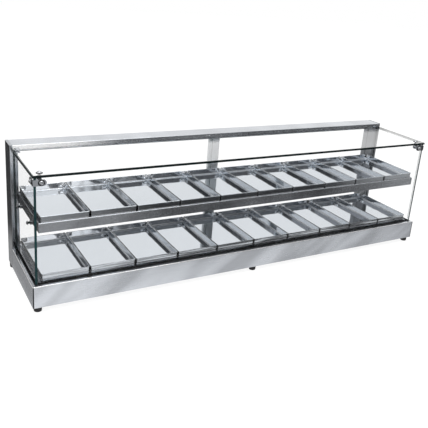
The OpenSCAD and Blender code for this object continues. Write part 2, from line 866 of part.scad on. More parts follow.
module clamp_screws() {
    plate_shank = clamp_plate_t + glass_t + clamp_grip - 1;
    translate([clamp_x, clamp_y, top_glass_top]) clamp_screw(glass_t + clamp_grip - 1);
    translate([end_glass_out + clamp_plate_t, clamp_y, clamp_z]) rotate([0, 90, 0])
        clamp_screw(plate_shank);
    translate([clamp_x, front_glass_out - clamp_plate_t, clamp_z]) rotate([90, 0, 0])
        clamp_screw(plate_shank);
}

module corner_clamp_screws() {
    color("gainsboro") {
        clamp_screws();
        mirror([1, 0, 0]) clamp_screws();
    }
}

// Clips on the rail's front face that grip the top pane's rear corners
module top_glass_clips() {
    color("dimgray") for (side = case_sides) translate([side * clip_x, 0, 0]) difference() {
        box([-clip_w / 2, upright_front - clip_reach, pane_top - clip_wall],
            [clip_w / 2, upright_front, top_glass_top + clip_wall]);
        box([-clip_w, upright_front - clip_reach - 1, pane_top], [clip_w, top_glass_rear, top_glass_top]);
    }
}

// Shelf

// A section from low to high whose two top corners are bends of radius r
module bent_section(low, high, r) {
    translate(low) square([high[0] - low[0], high[1] - low[1] - r]);
    translate([low[0] + r, low[1]]) square([high[0] - low[0] - 2 * r, high[1] - low[1]]);
    for (at = [low[0] + r, high[0] - r]) translate([at, high[1] - r]) circle(r = r);
}

// The shelf as a block set in by inset, its top edges bent in all round
module shelf_form(inset, low, high) {
    r = max(shelf_bend - inset, 0.3);
    side = shelf_half - inset;
    front = shelf_front + inset;
    rear = shelf_rear - inset;
    intersection() {
        translate([0, rear + 1, 0]) rotate([90, 0, 0]) linear_extrude(rear - front + 2)
            bent_section([-side, low], [side, high], r);
        translate([-side - 1, 0, 0]) rotate([90, 0, 90]) linear_extrude(2 * side + 2)
            bent_section([front, low], [rear, high], r);
    }
}

module shelf_frame() {
    color("silver") difference() {
        shelf_form(0, shelf_z, shelf_top);
        shelf_form(sheet, shelf_z - 1, shelf_top - sheet);
        box([-shelf_half + shelf_bend, shelf_front + shelf_bend, shelf_top - 2 * sheet],
            [shelf_half - shelf_bend, shelf_rear - shelf_bend, shelf_top + 1]);
        for (place = shelf_bolts_yz) translate([-shelf_half - 1, place[0], place[1]])
            rod_x(shelf_bolt_d + 2 * fit_gap, 2 * shelf_half + 2);
    }
}

module shelf_deck() {
    edge = sheet + plate_gap;
    color("lightgray") deck_plate([-shelf_half + edge, shelf_front + edge],
        [shelf_half - edge, shelf_rear - edge], upper_deck_z, flange);
}

// The shelf's underside: a plate with its edge turned up inside the frame
module shelf_bottom_cover() {
    edge = sheet + plate_gap;
    upstand = shelf_bolt_rise - shelf_bolt_d / 2 - 1;
    low = [-shelf_half + edge, shelf_front + edge, shelf_z];
    high = [shelf_half - edge, shelf_rear - edge, shelf_z + upstand];
    color("darkgray") difference() {
        box(low, high);
        box([low[0] + sheet, low[1] + sheet, shelf_z + sheet],
            [high[0] - sheet, high[1] - sheet, high[2] + 1]);
    }
}

module shelf_bolts() {
    shank = end_glass_out - shelf_half + sheet + shelf_bolt_d;
    color("gainsboro") for (side = case_sides, place = shelf_bolts_yz)
        translate([side * end_glass_out, place[0], place[1]]) rotate([0, side * 90, 0])
            dome_screw(shelf_head_d, shelf_head_h, shelf_bolt_d, shank);
}

module shelf_spacers() {
    length = end_glass_in - shelf_half;
    color("gainsboro") for (side = case_sides, place = shelf_bolts_yz)
        translate([side > 0 ? shelf_half : -end_glass_in, place[0], place[1]]) difference() {
            rod_x(spacer_d, length);
            translate([-1, 0, 0]) rod_x(shelf_bolt_d + 2 * fit_gap, length + 2);
        }
}

// Doors

module door(i) {
    color("lightcyan", 0.4) difference() {
        box([door_edges[i][0], door_fronts[i], door_low],
            [door_edges[i][1], door_fronts[i] + door_t, door_high]);
        translate([finger_x[i], door_fronts[i] - 1, finger_z]) rod_y(finger_d + 2 * grommet_lip, door_t + 2);
    }
}

// A thin grommet that lines a door's finger hole, with a lip on both faces
module door_pull(i) {
    hole_d = finger_d + 2 * grommet_lip;
    lip_r = hole_d / 2 + 3;
    color("gainsboro") translate([finger_x[i], door_fronts[i], finger_z]) rotate([-90, 0, 0])
        rotate_extrude() polygon([[finger_d / 2, -grommet_t], [lip_r, -grommet_t], [lip_r, 0],
            [hole_d / 2 - fit_gap / 3, 0], [hole_d / 2 - fit_gap / 3, door_t], [lip_r, door_t],
            [lip_r, door_t + grommet_t], [finger_d / 2, door_t + grommet_t]]);
}

module left_door() {
    door(0);
}

module right_door() {
    door(1);
}

module left_door_pull() {
    door_pull(0);
}

module right_door_pull() {
    door_pull(1);
}

for (i = [0 : pans_per_tier - 1]) {
    pan_lower(i);
    pan_upper(i);
}
base_shell();
base_bottom_cover();
lower_deck();
lower_heater();
upper_heater();
heater_clips();
terminal_block();
lower_thermostat();
upper_thermostat();
lower_thermostat_knob();
upper_thermostat_knob();
power_switch();
power_switch_rocker();
pilot_light();
cable_gland();
rubber_feet();
left_upright();
right_upright();
centre_post();
top_rail();
upper_door_track();
lower_door_track();
top_glass();
front_glass();
left_end_glass();
right_end_glass();
left_corner_clamp();
right_corner_clamp();
corner_clamp_arms();
corner_clamp_screws();
top_glass_clips();
shelf_frame();
shelf_deck();
shelf_bottom_cover();
shelf_bolts();
shelf_spacers();
left_door();
right_door();
left_door_pull();
right_door_pull();
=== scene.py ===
"""Looks of a two-tier hot food display case: finishes for its sheet, pans, glass and fittings, and its small trim."""

import json
import math

import bmesh
import bpy
from bpy.props import FloatProperty, FloatVectorProperty, IntProperty, PointerProperty
from mathutils import Matrix, Vector


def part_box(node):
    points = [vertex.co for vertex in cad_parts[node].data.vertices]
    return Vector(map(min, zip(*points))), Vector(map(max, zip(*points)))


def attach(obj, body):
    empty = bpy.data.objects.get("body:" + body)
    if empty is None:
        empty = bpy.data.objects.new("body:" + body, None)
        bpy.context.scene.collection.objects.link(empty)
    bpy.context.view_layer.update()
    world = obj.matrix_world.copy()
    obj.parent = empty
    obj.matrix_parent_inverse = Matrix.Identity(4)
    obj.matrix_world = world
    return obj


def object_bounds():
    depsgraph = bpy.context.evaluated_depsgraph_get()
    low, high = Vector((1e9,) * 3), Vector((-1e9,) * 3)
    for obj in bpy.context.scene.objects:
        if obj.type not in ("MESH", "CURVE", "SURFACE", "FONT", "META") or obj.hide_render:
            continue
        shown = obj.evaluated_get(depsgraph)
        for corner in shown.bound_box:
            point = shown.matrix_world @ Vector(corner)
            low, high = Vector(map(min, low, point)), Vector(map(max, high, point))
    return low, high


bl_info = {
    "name": "Hot food display case",
    "version": (1, 0, 0),
    "blender": (4, 5, 0),
    "location": "3D View > Sidebar > Display case",
    "description": "Finishes, glazing beads, fasteners, dial marks and studio for a hot food display case",
    "category": "Object",
}

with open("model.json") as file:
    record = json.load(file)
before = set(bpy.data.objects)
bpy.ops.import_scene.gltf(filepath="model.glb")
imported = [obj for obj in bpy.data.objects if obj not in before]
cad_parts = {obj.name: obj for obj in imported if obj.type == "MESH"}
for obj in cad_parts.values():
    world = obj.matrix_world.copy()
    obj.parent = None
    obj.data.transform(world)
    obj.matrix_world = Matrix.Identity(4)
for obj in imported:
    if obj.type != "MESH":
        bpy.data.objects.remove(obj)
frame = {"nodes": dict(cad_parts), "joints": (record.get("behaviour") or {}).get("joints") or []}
NODES = frame["nodes"]
CAD_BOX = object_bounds()

PANS = sorted(n for n in NODES if n.startswith("pan_"))
CONTROL_KNOBS = {"lower_thermostat_knob": "lower_knob", "upper_thermostat_knob": "upper_knob"}
SPLICE_X = -0.092  # where the top rail's two lengths meet
FACING = 0.7  # share of a normal along an axis from which a face counts as facing that way
WALL_LEAN = 0.085  # outward lean that the shine of the pans' front and rear walls shows
WHITE = (1.0, 1.0, 1.0, 1.0)
NEAR_BLACK = (0.02, 0.021, 0.023, 1.0)


# Properties


class DisplayCaseFinishes(bpy.types.PropertyGroup):
    """Colours and shine of the finishes."""

    sheet_colour: FloatVectorProperty(
        name="Sheet colour",
        description="Colour of the brushed steel sheet",
        subtype="COLOR",
        default=(0.625, 0.65, 0.69),
        min=0,
        max=1,
    )
    sheet_roughness: FloatProperty(
        name="Sheet roughness",
        description="Roughness of the brushed steel sheet",
        subtype="FACTOR",
        default=0.2,
        min=0,
        max=1,
    )
    pan_colour: FloatVectorProperty(
        name="Pan colour",
        description="Colour of the polished pans",
        subtype="COLOR",
        default=(0.67, 0.705, 0.745),
        min=0,
        max=1,
    )
    pan_roughness: FloatProperty(
        name="Pan roughness",
        description="Roughness of the polished pans",
        subtype="FACTOR",
        default=0.06,
        min=0,
        max=1,
    )
    glass_tint: FloatVectorProperty(
        name="Glass tint",
        description="Colour that one face of a pane lets through",
        subtype="COLOR",
        default=(0.999, 1.0, 1.0),
        min=0,
        max=1,
    )
    glass_edge: FloatVectorProperty(
        name="Glass edge",
        description="Colour of a pane's ground edge",
        subtype="COLOR",
        default=(0.012, 0.042, 0.045),
        min=0,
        max=1,
    )


class DisplayCaseTrim(bpy.types.PropertyGroup):
    """Sizes of the small trim."""

    outer_bead: FloatProperty(
        name="Outer bead radius",
        description="Radius of the glazing bead outside the panes",
        unit="LENGTH",
        default=0.0011,
        min=0.0005,
        max=0.004,
    )
    inner_bead: FloatProperty(
        name="Inner bead radius",
        description="Radius of the glazing bead inside the panes",
        unit="LENGTH",
        default=0.0009,
        min=0.0004,
        max=0.001,
    )
    rivet_diameter: FloatProperty(
        name="Rivet diameter",
        description="Diameter of the rivet heads on the top rail",
        unit="LENGTH",
        default=0.0064,
        min=0.003,
        max=0.01,
    )
    screw_diameter: FloatProperty(
        name="Screw diameter",
        description="Diameter of the cover screws' heads",
        unit="LENGTH",
        default=0.0076,
        min=0.004,
        max=0.012,
    )
    clamp_head: FloatProperty(
        name="Clamp head diameter",
        description="Diameter of the clamp screws' domed heads that the washers go round",
        unit="LENGTH",
        default=0.018,
        min=0.01,
        max=0.02,
    )
    washer: FloatProperty(
        name="Washer thickness",
        description="Radius of a washer's section",
        unit="LENGTH",
        default=0.0014,
        min=0.0004,
        max=0.002,
    )
    dial_ticks: IntProperty(
        name="Dial ticks",
        description="Number of marks round each thermostat knob",
        default=11,
        min=3,
        max=28,
    )
    grip_ribs: IntProperty(
        name="Grip ribs",
        description="Number of ribs round a knob's skirt",
        default=36,
        min=12,
        max=60,
    )


class DisplayCaseStage(bpy.types.PropertyGroup):
    """Camera, light and floor."""

    camera_place: FloatVectorProperty(
        name="Camera place",
        description="Where the camera stands",
        subtype="TRANSLATION",
        default=(-1.35014, -2.13166, 1.18289),
    )
    camera_yaw: FloatProperty(
        name="Camera yaw",
        description="Turn of the camera about the vertical",
        subtype="ANGLE",
        default=math.radians(-32.1274),
    )
    camera_pitch: FloatProperty(
        name="Camera pitch",
        description="Tilt of the camera against the horizon",
        subtype="ANGLE",
        default=math.radians(-18.4549),
    )
    camera_roll: FloatProperty(
        name="Camera roll",
        description="Roll of the camera about its own axis",
        subtype="ANGLE",
        default=math.radians(5.2346),
    )
    camera_lens: FloatProperty(
        name="Camera lens",
        description="Focal length in millimetres on a sensor 36 mm wide",
        default=51.3942,
        min=10,
        max=200,
    )
    camera_shift: FloatVectorProperty(
        name="Camera shift",
        description="Shift of the lens that frames the case as photographed",
        size=2,
        default=(-0.04893, -0.07956),
    )
    ambient: FloatProperty(
        name="Ambient light",
        description="Brightness of the surroundings on matt surfaces",
        default=0.7,
        min=0,
        max=2,
    )
    softbox_power: FloatProperty(
        name="Softbox power",
        description="Power of the overhead softbox",
        unit="POWER",
        default=34,
        min=0,
        max=200,
    )


# Node helpers


def new_material(name):
    """A material with an empty node tree, that tree and its output node."""
    material = bpy.data.materials.new(name)
    material.use_nodes = True
    tree = material.node_tree
    tree.nodes.clear()
    return material, tree, tree.nodes.new("ShaderNodeOutputMaterial")


def add(tree, kind, inputs=None, **settings):
    """A node with its settings; each input is a plain value or another node's socket."""
    made = tree.nodes.new(kind)
    for key, value in settings.items():
        setattr(made, key, value)
    for key, value in (inputs or {}).items():
        if isinstance(value, bpy.types.NodeSocket):
            tree.links.new(value, made.inputs[key])
        else:
            made.inputs[key].default_value = value
    return made


def principled(tree, out, inputs):
    """Ends a material in one Principled shader."""
    tree.links.new(add(tree, "ShaderNodeBsdfPrincipled", inputs).outputs[0], out.inputs[0])


def parts(tree, vector):
    """The X, Y and Z of a vector."""
    return add(tree, "ShaderNodeSeparateXYZ", {0: vector}).outputs


def scaled(tree, source, scale, turn=(0.0, 0.0, 0.0)):
    """Coordinates turned and then scaled."""
    if any(turn):
        source = add(tree, "ShaderNodeMapping", {"Vector": source, "Rotation": turn}).outputs[0]
    return add(tree, "ShaderNodeMapping", {"Vector": source, "Scale": scale}).outputs[0]


def noise(tree, vector, scale, detail=2.0, roughness=0.5):
    """A noise value from 0 to 1."""
    inputs = {"Vector": vector, "Scale": scale, "Detail": detail, "Roughness": roughness}
    return add(tree, "ShaderNodeTexNoise", inputs).outputs[0]


def spread(tree, value, low, high, start=0.3, end=0.7):
    """The value's span from start to end, spread from low to high."""
    return add(tree, "ShaderNodeMapRange", {0: value, 1: start, 2: end, 3: low, 4: high}).outputs[0]


def rise(tree, value, start, end):
    """0 up to start, 1 from end on."""
    return spread(tree, value, 0.0, 1.0, start, end)


def fall(tree, value, start, end):
    """1 up to start, 0 from end on."""
    return spread(tree, value, 1.0, 0.0, start, end)


def calc(tree, operation, first, second=0.0):
    """A Math node's result."""
    return add(tree, "ShaderNodeMath", {0: first, 1: second}, operation=operation).outputs[0]


def times(tree, *factors):
    """The product of the factors."""
    product = factors[0]
    for factor in factors[1:]:
        product = calc(tree, "MULTIPLY", product, factor)
    return product


def below(tree, value, limit):
    """1 where the value is below the limit, otherwise 0."""
    return calc(tree, "LESS_THAN", value, limit)


def above(tree, value, limit):
    """1 where the value is above the limit, otherwise 0."""
    return calc(tree, "GREATER_THAN", value, limit)


def apart(tree, value, place):
    """How far the value is from a place."""
    return calc(tree, "ABSOLUTE", calc(tree, "SUBTRACT", value, place))


def colour4(colour, factor=1.0):
    """A colour with alpha, made lighter or darker."""
    return tuple(min(1.0, c * factor) for c in colour) + (1.0,)


def blend(tree, factor, first, second):
    """A mix of two colours by a factor."""
    return add(tree, "ShaderNodeMix", {0: factor, 6: first, 7: second}, data_type="RGBA").outputs[2]


def bump(tree, height, strength, distance, under=None):
    """A bump over an optional bump under it."""
    inputs = {"Height": height, "Strength": strength, "Distance": distance}
    if under is not None:
        inputs["Normal"] = under
    return add(tree, "ShaderNodeBump", inputs).outputs[0]


def dress(names, material):
    """Gives CAD nodes a material on all their slots."""
    for name in names:
        slots = NODES[name].material_slots
        if not slots:
            raise RuntimeError(f"{name} has no material slot")
        for slot in slots:
            slot.link = "OBJECT"
            slot.material = material


# Finishes


def brushed_steel(
    name,
    colour,
    roughness,
    grain="X",
    wave=0.0016,
    joint_and_bend_lines=(),
    painted_sheen=0.07,
    marks=1.0,
    bend=0.0,
    ends=0.0,
    glare=0.0,
):
    """Sheet steel with a brushed grain, soft waves, a painted slanting sheen and dark lines at joints and bent
    corners.

    Grain is the axis that the grain runs along. Each joint or bend line is (axis, place, half width, axis of the
    faces that show it): at a joint a dark joint line, at a bent corner a painted dark reflection. The others give, in
    order, the height of the soft waves, how strong the painted slanting sheen is, how strongly the grain shows, how
    strongly a highlight is painted on the top bends, how much darker the end faces are painted as a dark reflection,
    and how much a painted glare brightens the front at its left end."""
    material, tree, out = new_material(name)
    where = add(tree, "ShaderNodeTexCoord").outputs
    place = where["Object"]
    xyz, side = parts(tree, place), parts(tree, where["Normal"])
    on_end = above(tree, calc(tree, "ABSOLUTE", side["X"]), FACING)

    # The grain is long on its own axis and fine across it; on the end faces a level grain runs to the rear
    long, fine = 2.0, 900.0
    upright = (fine, fine, long)
    front_grain = (long, fine, fine) if grain == "X" else upright
    end_grain = (fine, long, fine) if grain == "X" else upright
    grains = {0: on_end, 4: scaled(tree, place, front_grain), 5: scaled(tree, place, end_grain)}
    turned = add(tree, "ShaderNodeMix", grains, data_type="VECTOR").outputs[1]
    scratches = noise(tree, turned, 1.0, 3.0, 0.6)
    bands = noise(tree, scaled(tree, turned, (0.14, 0.14, 0.14)), 1.0, 2.0)
    smudges = noise(tree, place, 7.0, 3.0)
    # Painted sheen: slanting light and dark streaks blended into the colour, standing in for reflections
    slant = (0.0, math.radians(33), 0.0)
    sheen = noise(tree, scaled(tree, place, (2.6, 2.6, 13.0), slant), 1.0, 1.0)
    tone = calc(tree, "ADD", spread(tree, sheen, -painted_sheen, painted_sheen, 0.36, 0.64), spread(tree, bands, -0.03, 0.03))
    tone = calc(tree, "ADD", tone, spread(tree, scratches, 0.5 - 0.03 * marks, 0.5 + 0.03 * marks))
    base = blend(tree, tone, colour4(colour, 0.72), colour4(colour, 1.28))
    # Painted dark reflection: the end faces blended towards near black
    if ends:
        base = blend(tree, times(tree, on_end, ends), base, NEAR_BLACK)
    # Painted highlight: white blended onto the rounded top bends
    if bend:
        rounded = times(tree, above(tree, side["Z"], 0.2), below(tree, side["Z"], 0.97))
        base = blend(tree, times(tree, rounded, bend), base, WHITE)
    # Painted glare: white blended into the front faces towards the left end
    if glare:
        ahead = below(tree, side["Y"], -FACING)
        at_left = spread(tree, xyz["X"], glare, 0.0, -0.7, -0.5)
        base = blend(tree, times(tree, ahead, at_left), base, WHITE)
    # Dark lines: at a joint a joint line, at a bent corner a painted dark reflection
    for axis, at, half, faces in joint_and_bend_lines:
        line = below(tree, apart(tree, xyz[axis], at), half)
        facing = above(tree, calc(tree, "ABSOLUTE", side[faces]), FACING)
        base = blend(tree, times(tree, line, facing), base, NEAR_BLACK)

    patchy = spread(tree, smudges, -0.02, 0.05)
    rough = calc(tree, "ADD", spread(tree, scratches, -0.05 * marks, 0.06 * marks), patchy)
    waves = bump(tree, noise(tree, place, 4.5, 1.0), 1.0, wave)
    shader = {
        "Base Color": base,
        "Metallic": 1.0,
        "Roughness": calc(tree, "ADD", rough, roughness),
        "Normal": bump(tree, scratches, 0.12 * marks, 0.0003, waves),
    }
    principled(tree, out, shader)
    return material


def wiped(tree, place, colour, depth):
    """The colour of rolled steel with wipe marks of a depth and fine specks, and the wipe marks themselves."""
    wipes = noise(tree, scaled(tree, place, (35.0, 9.0, 35.0), (0.0, 0.0, 0.5)), 1.0, 4.0, 0.65)
    specks = noise(tree, place, 420.0, 2.0)
    tone = spread(tree, wipes, 0.48 - depth, 0.48 + depth)
    tone = calc(tree, "ADD", tone, spread(tree, specks, -0.03, 0.03))
    return blend(tree, tone, colour4(colour, 0.86), colour4(colour, 1.16)), wipes


def polished_steel(name, colour, roughness, wave=0.0004):
    """Bright rolled or plated metal with fine wipe marks and faint waves."""
    material, tree, out = new_material(name)
    place = add(tree, "ShaderNodeTexCoord").outputs["Object"]
    base, wipes = wiped(tree, place, colour, 0.09)
    shader = {
        "Base Color": base,
        "Metallic": 1.0,
        "Roughness": calc(tree, "ADD", spread(tree, wipes, -0.02, 0.035), roughness),
        "Normal": bump(tree, noise(tree, place, 14.0, 1.0), 1.0, wave),
    }
    principled(tree, out, shader)
    return material


def pan_steel(name, colour, roughness, row, low, high, front_lines, side_lean):
    """Rolled pan steel of one tier between two corners, with wipe marks and faint waves.

    The row (start, pitch, half width) has a broken dark line on the rims at each joint between pans, partly dirt and
    partly painted shade in the gap; the walls have a painted highlight along the fold above the floor, and the rims
    small dents at their rear corners with painted glints and painted dark specks of the dents' reflection. The walls
    shine as if they leaned outwards a little, the side walls by side_lean, and the rear ones are wavier; the rear
    walls at the left end are painted bright and the outsides of the side walls painted darker, both as reflections.
    The argument after the corners is how dark the lines are that run along the front walls, strongest to the right."""
    material, tree, out = new_material(name)
    where = add(tree, "ShaderNodeTexCoord").outputs
    place = where["Object"]
    xyz, side = parts(tree, place), parts(tree, where["Normal"])
    # Dark for the joint lines' shade and dirt and for painted dark reflections, bright for painted highlights and
    # glints
    dark, bright = (0.015, 0.016, 0.018, 1.0), (0.97, 0.98, 1.0, 1.0)
    base, wipes = wiped(tree, place, colour, 0.03)

    # Joint lines on the rims, partly dirt and partly painted shade in the gaps between pans
    start, pitch, half = row
    from_start = calc(tree, "SUBTRACT", xyz["X"], start)
    from_joint = calc(tree, "PINGPONG", from_start, pitch / 2)
    patchy = spread(tree, noise(tree, place, 48.0, 2.0), 0.0, half, 0.36, 0.52)
    on_rim = above(tree, xyz["Z"], high.z - 0.006)
    base = blend(tree, times(tree, below(tree, from_joint, patchy), on_rim), base, dark)

    # Dark lines along the front walls, darker to the right
    lines = rise(tree, noise(tree, scaled(tree, place, (5.0, 1.0, 170.0)), 1.0, 1.0), 0.42, 0.52)
    in_front = times(tree, below(tree, xyz["Y"], low.y + 0.004), below(tree, side["Y"], -0.6))
    to_right = spread(tree, xyz["X"], 0.4 * front_lines, front_lines, -0.75, -0.1)
    base = blend(tree, times(tree, lines, in_front, to_right), base, (0.03, 0.032, 0.036, 1.0))

    # Painted highlight along the fold above the floor
    upright = below(tree, calc(tree, "ABSOLUTE", side["Z"]), 0.6)
    fold = times(tree, below(tree, apart(tree, xyz["Z"], low.z + 0.0038), 0.0016), upright)
    base = blend(tree, fold, base, bright)
    rough = calc(tree, "ADD", spread(tree, wipes, -0.01, 0.015), roughness)
    rough = calc(tree, "ADD", rough, times(tree, fold, 0.3))

    # Lean of the walls; inward is above 0 on faces that look to the middle of their pan
    across = calc(tree, "SUBTRACT", 0.5, calc(tree, "FRACT", calc(tree, "DIVIDE", from_start, pitch)))
    along = calc(tree, "SUBTRACT", (low.y + high.y) / 2, xyz["Y"])
    inward = calc(tree, "ADD", times(tree, side["X"], across, pitch), times(tree, side["Y"], along))
    slope = spread(tree, calc(tree, "ABSOLUTE", side["X"]), WALL_LEAN, side_lean, 0.5, 0.9)
    lean = times(tree, above(tree, inward, 0.0), upright, slope)
    at_rear_wall = times(tree, below(tree, side["Y"], -FACING), below(tree, along, 0.0))
    wave = spread(tree, at_rear_wall, 0.0006, 0.0028, 0.0, 1.0)
    waves = bump(tree, noise(tree, place, 14.0, 1.0), 1.0, wave)

    # Dents at the rear corners of the rims, with painted glints and painted dark specks of the dents' reflection
    at_joint = fall(tree, from_joint, 0.01, 0.026)
    at_rear = rise(tree, xyz["Y"], high.y - 0.034, high.y - 0.012)
    at_top = rise(tree, xyz["Z"], high.z - 0.018, high.z - 0.012)
    corner = times(tree, at_joint, at_rear, at_top)
    spots = noise(tree, place, 125.0, 2.0)
    base = blend(tree, times(tree, corner, below(tree, spots, 0.44)), base, dark)
    glint = times(tree, corner, above(tree, spots, 0.53))
    base = blend(tree, glint, base, bright)

    # Painted reflections: bright rear walls at the left end, dark outsides of the side walls
    at_left = times(tree, at_rear_wall, spread(tree, xyz["X"], 0.85, 0.0, -0.72, -0.52))
    base = blend(tree, at_left, base, bright)
    outside = times(tree, below(tree, inward, 0.0), calc(tree, "ABSOLUTE", side["X"]))
    base = blend(tree, times(tree, outside, 0.9), base, dark)

    tilt = add(tree, "ShaderNodeCombineXYZ", {2: lean}).outputs[0]
    dented = bump(tree, times(tree, corner, spots), 1.0, 0.009, waves)
    leaning = add(tree, "ShaderNodeVectorMath", {0: dented, 1: tilt}, operation="ADD").outputs[0]
    shader = {
        "Base Color": base,
        "Metallic": calc(tree, "SUBTRACT", 1.0, times(tree, glint, 0.95)),
        "Roughness": rough,
        "Normal": add(tree, "ShaderNodeVectorMath", {0: leaning}, operation="NORMALIZE").outputs[0],
    }
    principled(tree, out, shader)
    return material


def galvanised_steel(name):
    """Zinc-coated cover sheet with its crystal spangle."""
    material, tree, out = new_material(name)
    place = add(tree, "ShaderNodeTexCoord").outputs["Object"]
    crystals = add(tree, "ShaderNodeTexVoronoi", {"Vector": place, "Scale": 95.0, "Randomness": 1.0})
    shade = parts(tree, crystals.outputs["Color"])["X"]
    stain = noise(tree, place, 6.0, 4.0)
    tone = calc(tree, "ADD", times(tree, shade, 0.6), spread(tree, stain, 0.0, 0.4))
    shader = {
        "Base Color": blend(tree, tone, (0.34, 0.35, 0.36, 1.0), (0.56, 0.57, 0.58, 1.0)),
        "Metallic": 1.0,
        "Roughness": spread(tree, shade, 0.32, 0.5, 0.0, 1.0),
        "Normal": bump(tree, noise(tree, place, 160.0, 2.0), 0.15, 0.0004),
    }
    principled(tree, out, shader)
    return material


def clear_glass(name, axis, tint, edge, shine, border=None):
    """A clear pane whose faces across the axis are see-through and whose ground edges have their own colour.

    An edge seen from inside the pane is paler. A border (half length, front, width) is a dark arris on the faces
    along the front and the ends, painted paler at the right end as if lit there, and leaves the rear edge clear; the
    shine, then of the outer face alone, fades out towards the rear and weakens to the right."""
    material, tree, out = new_material(name)
    where = add(tree, "ShaderNodeTexCoord").outputs
    xyz, side = parts(tree, where["Object"]), parts(tree, where["Normal"])
    inside = add(tree, "ShaderNodeNewGeometry").outputs["Backfacing"]
    is_edge = below(tree, calc(tree, "ABSOLUTE", side[axis]), FACING)
    is_edge = times(tree, is_edge, spread(tree, inside, 1.0, 0.35, 0.0, 1.0))
    straight_on = 0.03
    grazing = calc(tree, "POWER", add(tree, "ShaderNodeLayerWeight", {"Blend": 0.5}).outputs["Facing"], 5.0)
    mirror = calc(tree, "ADD", times(tree, grazing, 1.0 - straight_on), straight_on)
    mirror = times(tree, mirror, shine)
    if border:
        half, front, width = border
        at_end = above(tree, calc(tree, "ABSOLUTE", xyz["X"]), half - width)
        arris = calc(tree, "MAXIMUM", at_end, below(tree, xyz["Y"], front + width))
        is_edge = calc(tree, "MAXIMUM", times(tree, is_edge, below(tree, side["Y"], FACING)), arris)
        # Painted light: the arris is made paler at the right end
        paler = spread(tree, xyz["X"], 1.0, 0.6, half - 2 * width, half - width)
        is_edge = times(tree, is_edge, paler)
        to_rear = fall(tree, xyz["Y"], 0.03, 0.08)
        to_right = spread(tree, xyz["X"], 1.0, 0.45, 0.2, 0.85)
        mirror = times(tree, mirror, to_rear, to_right, calc(tree, "SUBTRACT", 1.0, inside))
    clear = add(tree, "ShaderNodeBsdfTransparent", {"Color": tuple(tint) + (1.0,)})
    polish = {"Base Color": WHITE, "Metallic": 1.0, "Roughness": 0.0}
    sheen = add(tree, "ShaderNodeBsdfPrincipled", polish)
    face = add(tree, "ShaderNodeMixShader", {0: mirror, 1: clear.outputs[0], 2: sheen.outputs[0]})
    along = noise(tree, where["Object"], 26.0, 3.0)
    grinding = {
        "Base Color": blend(tree, spread(tree, along, 0.0, 1.0), colour4(edge, 0.5), colour4(edge, 1.6)),
        "Roughness": spread(tree, along, 0.2, 0.4),
        "Specular IOR Level": 0.15,
    }
    ground = add(tree, "ShaderNodeBsdfPrincipled", grinding)
    pane = add(tree, "ShaderNodeMixShader", {0: is_edge, 1: face.outputs[0], 2: ground.outputs[0]})
    tree.links.new(pane.outputs[0], out.inputs[0])
    return material


def moulded(name, colour, roughness, grain=320.0, depth=0.0002, coat=0.0):
    """Moulded plastic, rubber or ceramic with a fine grain, slight wear and, if asked for, a clear coat."""
    material, tree, out = new_material(name)
    place = add(tree, "ShaderNodeTexCoord").outputs["Object"]
    fine = noise(tree, place, grain, 3.0)
    patchy = spread(tree, noise(tree, place, 40.0, 3.0), 0.0, 1.0)
    shader = {
        "Base Color": blend(tree, patchy, colour4(colour, 0.8), colour4(colour, 1.25)),
        "Roughness": calc(tree, "ADD", spread(tree, fine, -0.06, 0.06), roughness),
        "Coat Weight": coat,
        "Normal": bump(tree, fine, 0.35, depth),
    }
    principled(tree, out, shader)
    return material


def amber_lens(name):
    """The pilot light's ribbed amber lens."""
    material, tree, out = new_material(name)
    place = add(tree, "ShaderNodeTexCoord").outputs["Object"]
    waves = add(tree, "ShaderNodeTexWave", {"Vector": place, "Scale": 190.0}, bands_direction="X")
    ribs = waves.outputs["Fac"]
    shader = {
        "Base Color": blend(tree, ribs, (0.55, 0.15, 0.01, 1.0), (0.95, 0.36, 0.03, 1.0)),
        "Roughness": 0.14,
        "Coat Weight": 0.6,
        "Normal": bump(tree, ribs, 0.3, 0.0004),
    }
    principled(tree, out, shader)
    return material


